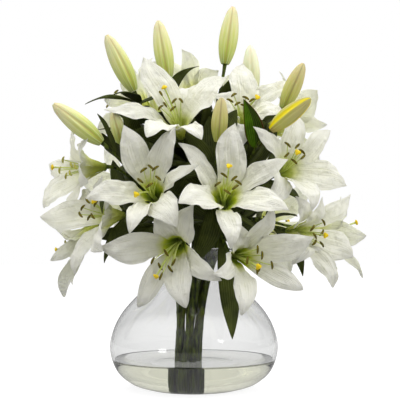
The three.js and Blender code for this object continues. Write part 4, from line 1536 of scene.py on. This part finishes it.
@dataclass(frozen=True)
class Stem:
    """A leafy stem: a stalk in the twisted bundle, its pedicels and its leaves.

    The bundle's course is (the X of its middle, its radius, its share of the twist, height).
    """

    name: str
    number: int
    bearing: float
    head: tuple[float, float, float]
    in_middle: bool = False
    gap: float = 0.3
    twist: float = 50.0
    course: tuple[tuple[float, float, float, float], ...] = (
        (-8, 11.6, -1, 7.9),
        (-5, 12.6, -1 / 3, 95),
        (3, 16, 0, 178),
    )
    radius: float = 5.2
    pedicel_radius: float = 1.9
    pedicel_swell: float = 0.9  # where it meets its bloom or bud
    stagger: float = 0.035  # between pedicels, as a share of the stalk
    near_enough: float = 0.9  # of a leaf's tip to a vertex of the solid

    def _place(self, middle: float, ring: float, twist: float, height: float) -> Array:
        """Returns the stem's place at one point of the bundle's course."""
        out = leant(X, Y, self.bearing + self.twist * twist) * (0.0 if self.in_middle else ring)
        return X * middle + out + Z * height

    def stalk(self) -> Limb:
        """Returns the stalk, from the vase's floor to where the pedicels part."""
        places = (self._place(*point) for point in self.course)
        return Limb(Bezier((*places, vec(*self.head))), self.radius, 6)

    def pedicel(self, k: int, base: Array, axis: Array) -> Limb:
        """Bends a pedicel so that it meets its bloom or bud along the axis.

        Args:
            k: its number on this stem.
            base: where the bloom or bud sits on it.
            axis: the way that the bloom or bud points.

        Returns:
            The pedicel.
        """
        head = self.stalk().curve.points(np.array([1 - self.stagger * (k + 1)]))[0]
        end = base - axis * self.gap
        length = float(np.linalg.norm(end - head))
        out = (end - head) * vec(0.25, 0.25, 0)
        controls = (head, head + out + vec(0, 0, length * 0.25), end - axis * length * 0.3, end)
        return Limb(Bezier(controls), self.pedicel_radius, 3, self.pedicel_swell)

    def limbs(self) -> list[Limb]:
        """Lists the stem's limbs.

        Returns:
            The stalk, then its pedicels, those of buds first.
        """
        ends = [(b.base, b.axis) for b in BUDS if b.stem == self.number]
        ends += [(b.base, b.facing.axis) for b in BLOOMS if b.stem == self.number]
        return [self.stalk(), *(self.pedicel(k, *end) for k, end in enumerate(ends))]

    def leaves(self, solid: Array) -> list[Leaf]:
        """Finds the stem's leaves.

        Args:
            solid: the vertices of the stem's CAD node, in millimetres. Of the places where a leaf
                may grow, the one whose tip the solid has is the one that it took.

        Returns:
            The leaves that the front shows, then those that grow by rule.
        """
        limbs = self.limbs()
        made = []
        for seen in SEEN_LEAVES:
            if seen.stem != self.number:
                continue
            seats = [(limb, limb.seat(k / 40)[0]) for limb in limbs for k in range(41)]
            limb, root = min(seats, key=lambda seat: float(np.linalg.norm(seat[1] - vec(*seen.near))))
            ends = (limb.on_curve(root), vec(*seen.over), vec(*seen.tip))
            leaf = Leaf(*ends, seen.half, seen.half, seen.bright)
            made.append(replace(leaf, slender=seen.slender, across=seen.across))
        count = 0
        for limb in limbs:
            leaf_count = math.floor(limb.curve.length() / OUTER.every + 0.5)
            for k in range(1, leaf_count + 1):
                root, along = limb.seat((k - 0.4) / leaf_count)
                if root[2] < OUTER.lowest:
                    continue
                count += 1
                for leaf in OUTER.tries(root, along, count):
                    if np.min(np.linalg.norm(solid - leaf.tip, axis=1)) < self.near_enough:
                        made.append(replace(leaf, root=limb.on_curve(root)))
                        break
        return made

    @staticmethod
    def _upright(leaf: Leaf) -> Leaf:
        """Turns a leaf round its spine until its blade looks out of the bouquet.

        Args:
            leaf: the leaf.

        Returns:
            The turned leaf.
        """
        x, y, _ = (leaf.root + leaf.tip) / 2
        reach = math.hypot(x, y) + 1e-6
        return replace(leaf, face=(x / reach, y / reach, 0.35))

    def filling(self, thicket: Thicket) -> list[Leaf]:
        """Closes the gaps in the bouquet's heart with leaves that the solids lack.

        Args:
            thicket: what the leaves have to clear; each new leaf joins it.

        Returns:
            The leaves.
        """
        made = []
        for i, limb in enumerate(self.limbs()):
            leaf_count = math.floor(limb.curve.length() / HEART.every)
            for k in range(1, leaf_count):
                root, along = limb.seat(k / leaf_count)
                if root[2] < HEART.lowest or math.hypot(root[0], root[1]) > HEART.roots:
                    continue
                tries = HEART.tries(limb.on_curve(root), along, 7 * i + 3 * k + self.number)
                options = (self._upright(leaf) for leaf in tries)
                leaf = next((leaf for leaf in options if thicket.clears(leaf)), None)
                if leaf:
                    thicket.add_leaf(leaf)
                    made.append(leaf)
        return made

    def build(self, node: bpy.types.Object, thicket: Thicket) -> bpy.types.Object:
        """Builds the stalk with its pedicels and leaves.

        Args:
            node: the stem's CAD node.
            thicket: what stands in the bouquet already.

        Returns:
            The piece.
        """
        solid = np.array([v.co for v in node.data.vertices]) / MM
        draft = Draft()
        for i, limb in enumerate(self.limbs()):
            limb.add_to(draft, *(PEDICEL_GRID if i else STALK_GRID))
        for leaf in self.leaves(solid):
            leaf.add_to(draft, *LEAF_GRID)
            thicket.add_leaf(leaf)
        for leaf in self.filling(thicket):
            leaf.add_to(draft, *HEART_GRID)
        finishes = [Finish.STALK, Finish.LEAF, Finish.LEAF_BRIGHT]
        return draft.build("leafy_" + self.name, finishes, self.name, "leaf_and_stem")


STEMS = (
    Stem("stem_front", 0, 295, (22, -38, 212)),
    Stem("stem_front_left", 1, 235, (-24, -36, 214)),
    Stem("stem_top", 2, 0, (8, -2, 262), in_middle=True),
    Stem("stem_right", 3, 350, (54, -12, 206)),
    Stem("stem_left", 4, 175, (-50, -6, 208)),
    Stem("stem_back_right", 5, 50, (42, 32, 224)),
    Stem("stem_back_left", 6, 115, (-24, 34, 226)),
)


# ---------------------------------------------------------------- studio


@dataclass(frozen=True)
class Softbox:
    """A square soft light that looks at the bouquet."""

    name: str
    place: tuple[float, float, float]
    size: float
    watts: float
    mirrored: bool = False  # whether the glass shows it

    def build(self, target: Array) -> None:
        """Hangs the light.

        Args:
            target: the point that it looks at, in metres.
        """
        light = bpy.data.lights.new(self.name, "AREA")
        light.size = self.size
        light.energy = self.watts
        lamp = bpy.data.objects.new(self.name, light)
        lamp.location = self.place
        lamp.visible_camera = False
        lamp.visible_glossy = self.mirrored
        lamp.visible_transmission = self.mirrored
        away = Vector((np.array(self.place) - target).tolist())
        lamp.rotation_mode = "QUATERNION"
        lamp.rotation_quaternion = away.to_track_quat("Z", "Y")
        bpy.context.scene.collection.objects.link(lamp)


@dataclass(frozen=True)
class Studio:
    """A white sweep with soft light, and the camera at the photograph's angle."""

    camera_place: tuple[float, float, float] = (0.0072, -1.150, 0.166)
    tilt: float = 2.87  # degrees above level
    lens: float = 86.2
    softboxes: tuple[Softbox, ...] = (
        Softbox("overhead", (-0.1, -0.35, 1.2), 1.0, 6.2),
        Softbox("key_left", (-1.05, -1.2, 0.14), 0.3, 1.6, mirrored=True),
        Softbox("fill_right", (1.7, -0.4, 0.8), 0.9, 12.0),
        Softbox("rim_behind", (0.2, 1.3, 1.1), 0.9, 20.0),
    )

    def build(self) -> None:
        """Sets up the floor, the light and the camera."""
        self._floor()
        self._sky()
        for softbox in self.softboxes:
            softbox.build(vec(0, 0, 0.25))
        camera = bpy.data.cameras.new("camera")
        camera.lens = self.lens
        camera.sensor_width = 36.0
        eye = bpy.data.objects.new("camera", camera)
        eye.location = self.camera_place
        eye.rotation_euler = (math.radians(90 + self.tilt), 0, 0)
        bpy.context.scene.collection.objects.link(eye)
        bpy.context.scene.camera = eye
        bpy.context.scene.view_settings.view_transform = "Standard"

    @staticmethod
    def _floor() -> None:
        """Lays a plain pale floor, which shows brighter to the eye and through the glass."""
        mesh = bpy.data.meshes.new("floor")
        reach = 8.0
        corners = [(-reach, -reach, 0), (reach, -reach, 0), (reach, reach, 0), (-reach, reach, 0)]
        mesh.from_pydata(corners, [], [(0, 1, 2, 3)])
        material, add = new_material("floor_white")
        ray = add("LightPath").outputs
        both = {0: ray["Is Glossy Ray"], 1: ray["Is Transmission Ray"]}
        through = add("Math", both, operation="MULTIPLY")
        bent = add("MapRange", {0: through, "To Min": 0.18, "To Max": 0.62})
        straight = add("Math", {0: ray["Is Camera Ray"], 1: 0.9}, operation="MULTIPLY")
        glow = add("Math", {0: bent, 1: straight}, operation="MAXIMUM")
        matt = {"Base Color": linear("#7c7c7c"), "Roughness": 0.9, "Specular IOR Level": 0.0}
        lit = {"Emission Color": linear("#ffffff"), "Emission Strength": glow}
        shader = add("BsdfPrincipled", {**matt, **lit})
        add("OutputMaterial", {0: shader})
        mesh.materials.append(material)
        floor = bpy.data.objects.new("floor", mesh)
        bpy.context.scene.collection.objects.link(floor)

    @staticmethod
    def _sky() -> None:
        """Surrounds the scene with a room: a lit backdrop behind, bright above and dim in front.

        The eye sees it white, and mirrored in the glass it is dark, as with flags round a bottle.
        """
        world = bpy.data.worlds.new("studio")
        world.use_nodes = True
        add = emptied(world.node_tree)
        _, back, up = add("SeparateXYZ", {0: add("TexCoord").outputs["Generated"]}).outputs
        overhead = {"From Min": 0.1, "From Max": 0.8, "To Min": 0.4, "To Max": 1.32}
        above = add("MapRange", {0: up, **overhead})
        behind = {"From Min": 0.3, "From Max": 0.8, "To Min": 0.36, "To Max": 0.9}
        backdrop = add("MapRange", {0: back, **behind})
        lit = add("Math", {0: above, 1: backdrop}, operation="MAXIMUM")
        ray = add("LightPath").outputs
        both = {0: ray["Is Glossy Ray"], 1: ray["Is Reflection Ray"]}
        mirrored = add("Math", both, operation="MULTIPLY")
        share = add("MapRange", {0: mirrored, "To Min": 1.0, "To Max": 0.15})
        flagged = add("Math", {0: lit, 1: share}, operation="MULTIPLY")
        seen = add("Math", {0: flagged, 1: ray["Is Camera Ray"]}, operation="MAXIMUM")
        light = add("Background", {"Color": linear("#ffffff"), "Strength": seen})
        add("OutputWorld", {0: light})
        bpy.context.scene.world = world


def report(piece: bpy.types.Object) -> bpy.types.Object:
    """Logs a piece that is built, and returns it."""
    LOG.info("%s: %d faces", piece.name, len(piece.data.polygons))
    return piece


def main() -> None:
    """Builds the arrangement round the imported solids."""
    logging.basicConfig(level=logging.INFO, format="%(name)s: %(message)s")
    for old in list(bpy.data.objects):
        bpy.data.objects.remove(old)
    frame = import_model()
    vase = Vase()
    report(vase.glass())
    report(vase.water())
    thicket = Thicket()
    for bloom in BLOOMS:
        thicket.add_piece(report(bloom.build_petals()))
        thicket.add_piece(report(bloom.build_stamens()))
    for bud in BUDS:
        thicket.add_piece(report(bud.build()))
    for stem in STEMS:
        report(stem.build(frame["nodes"][stem.name], thicket))
    Studio().build()


if __name__ == "__main__":
    main()
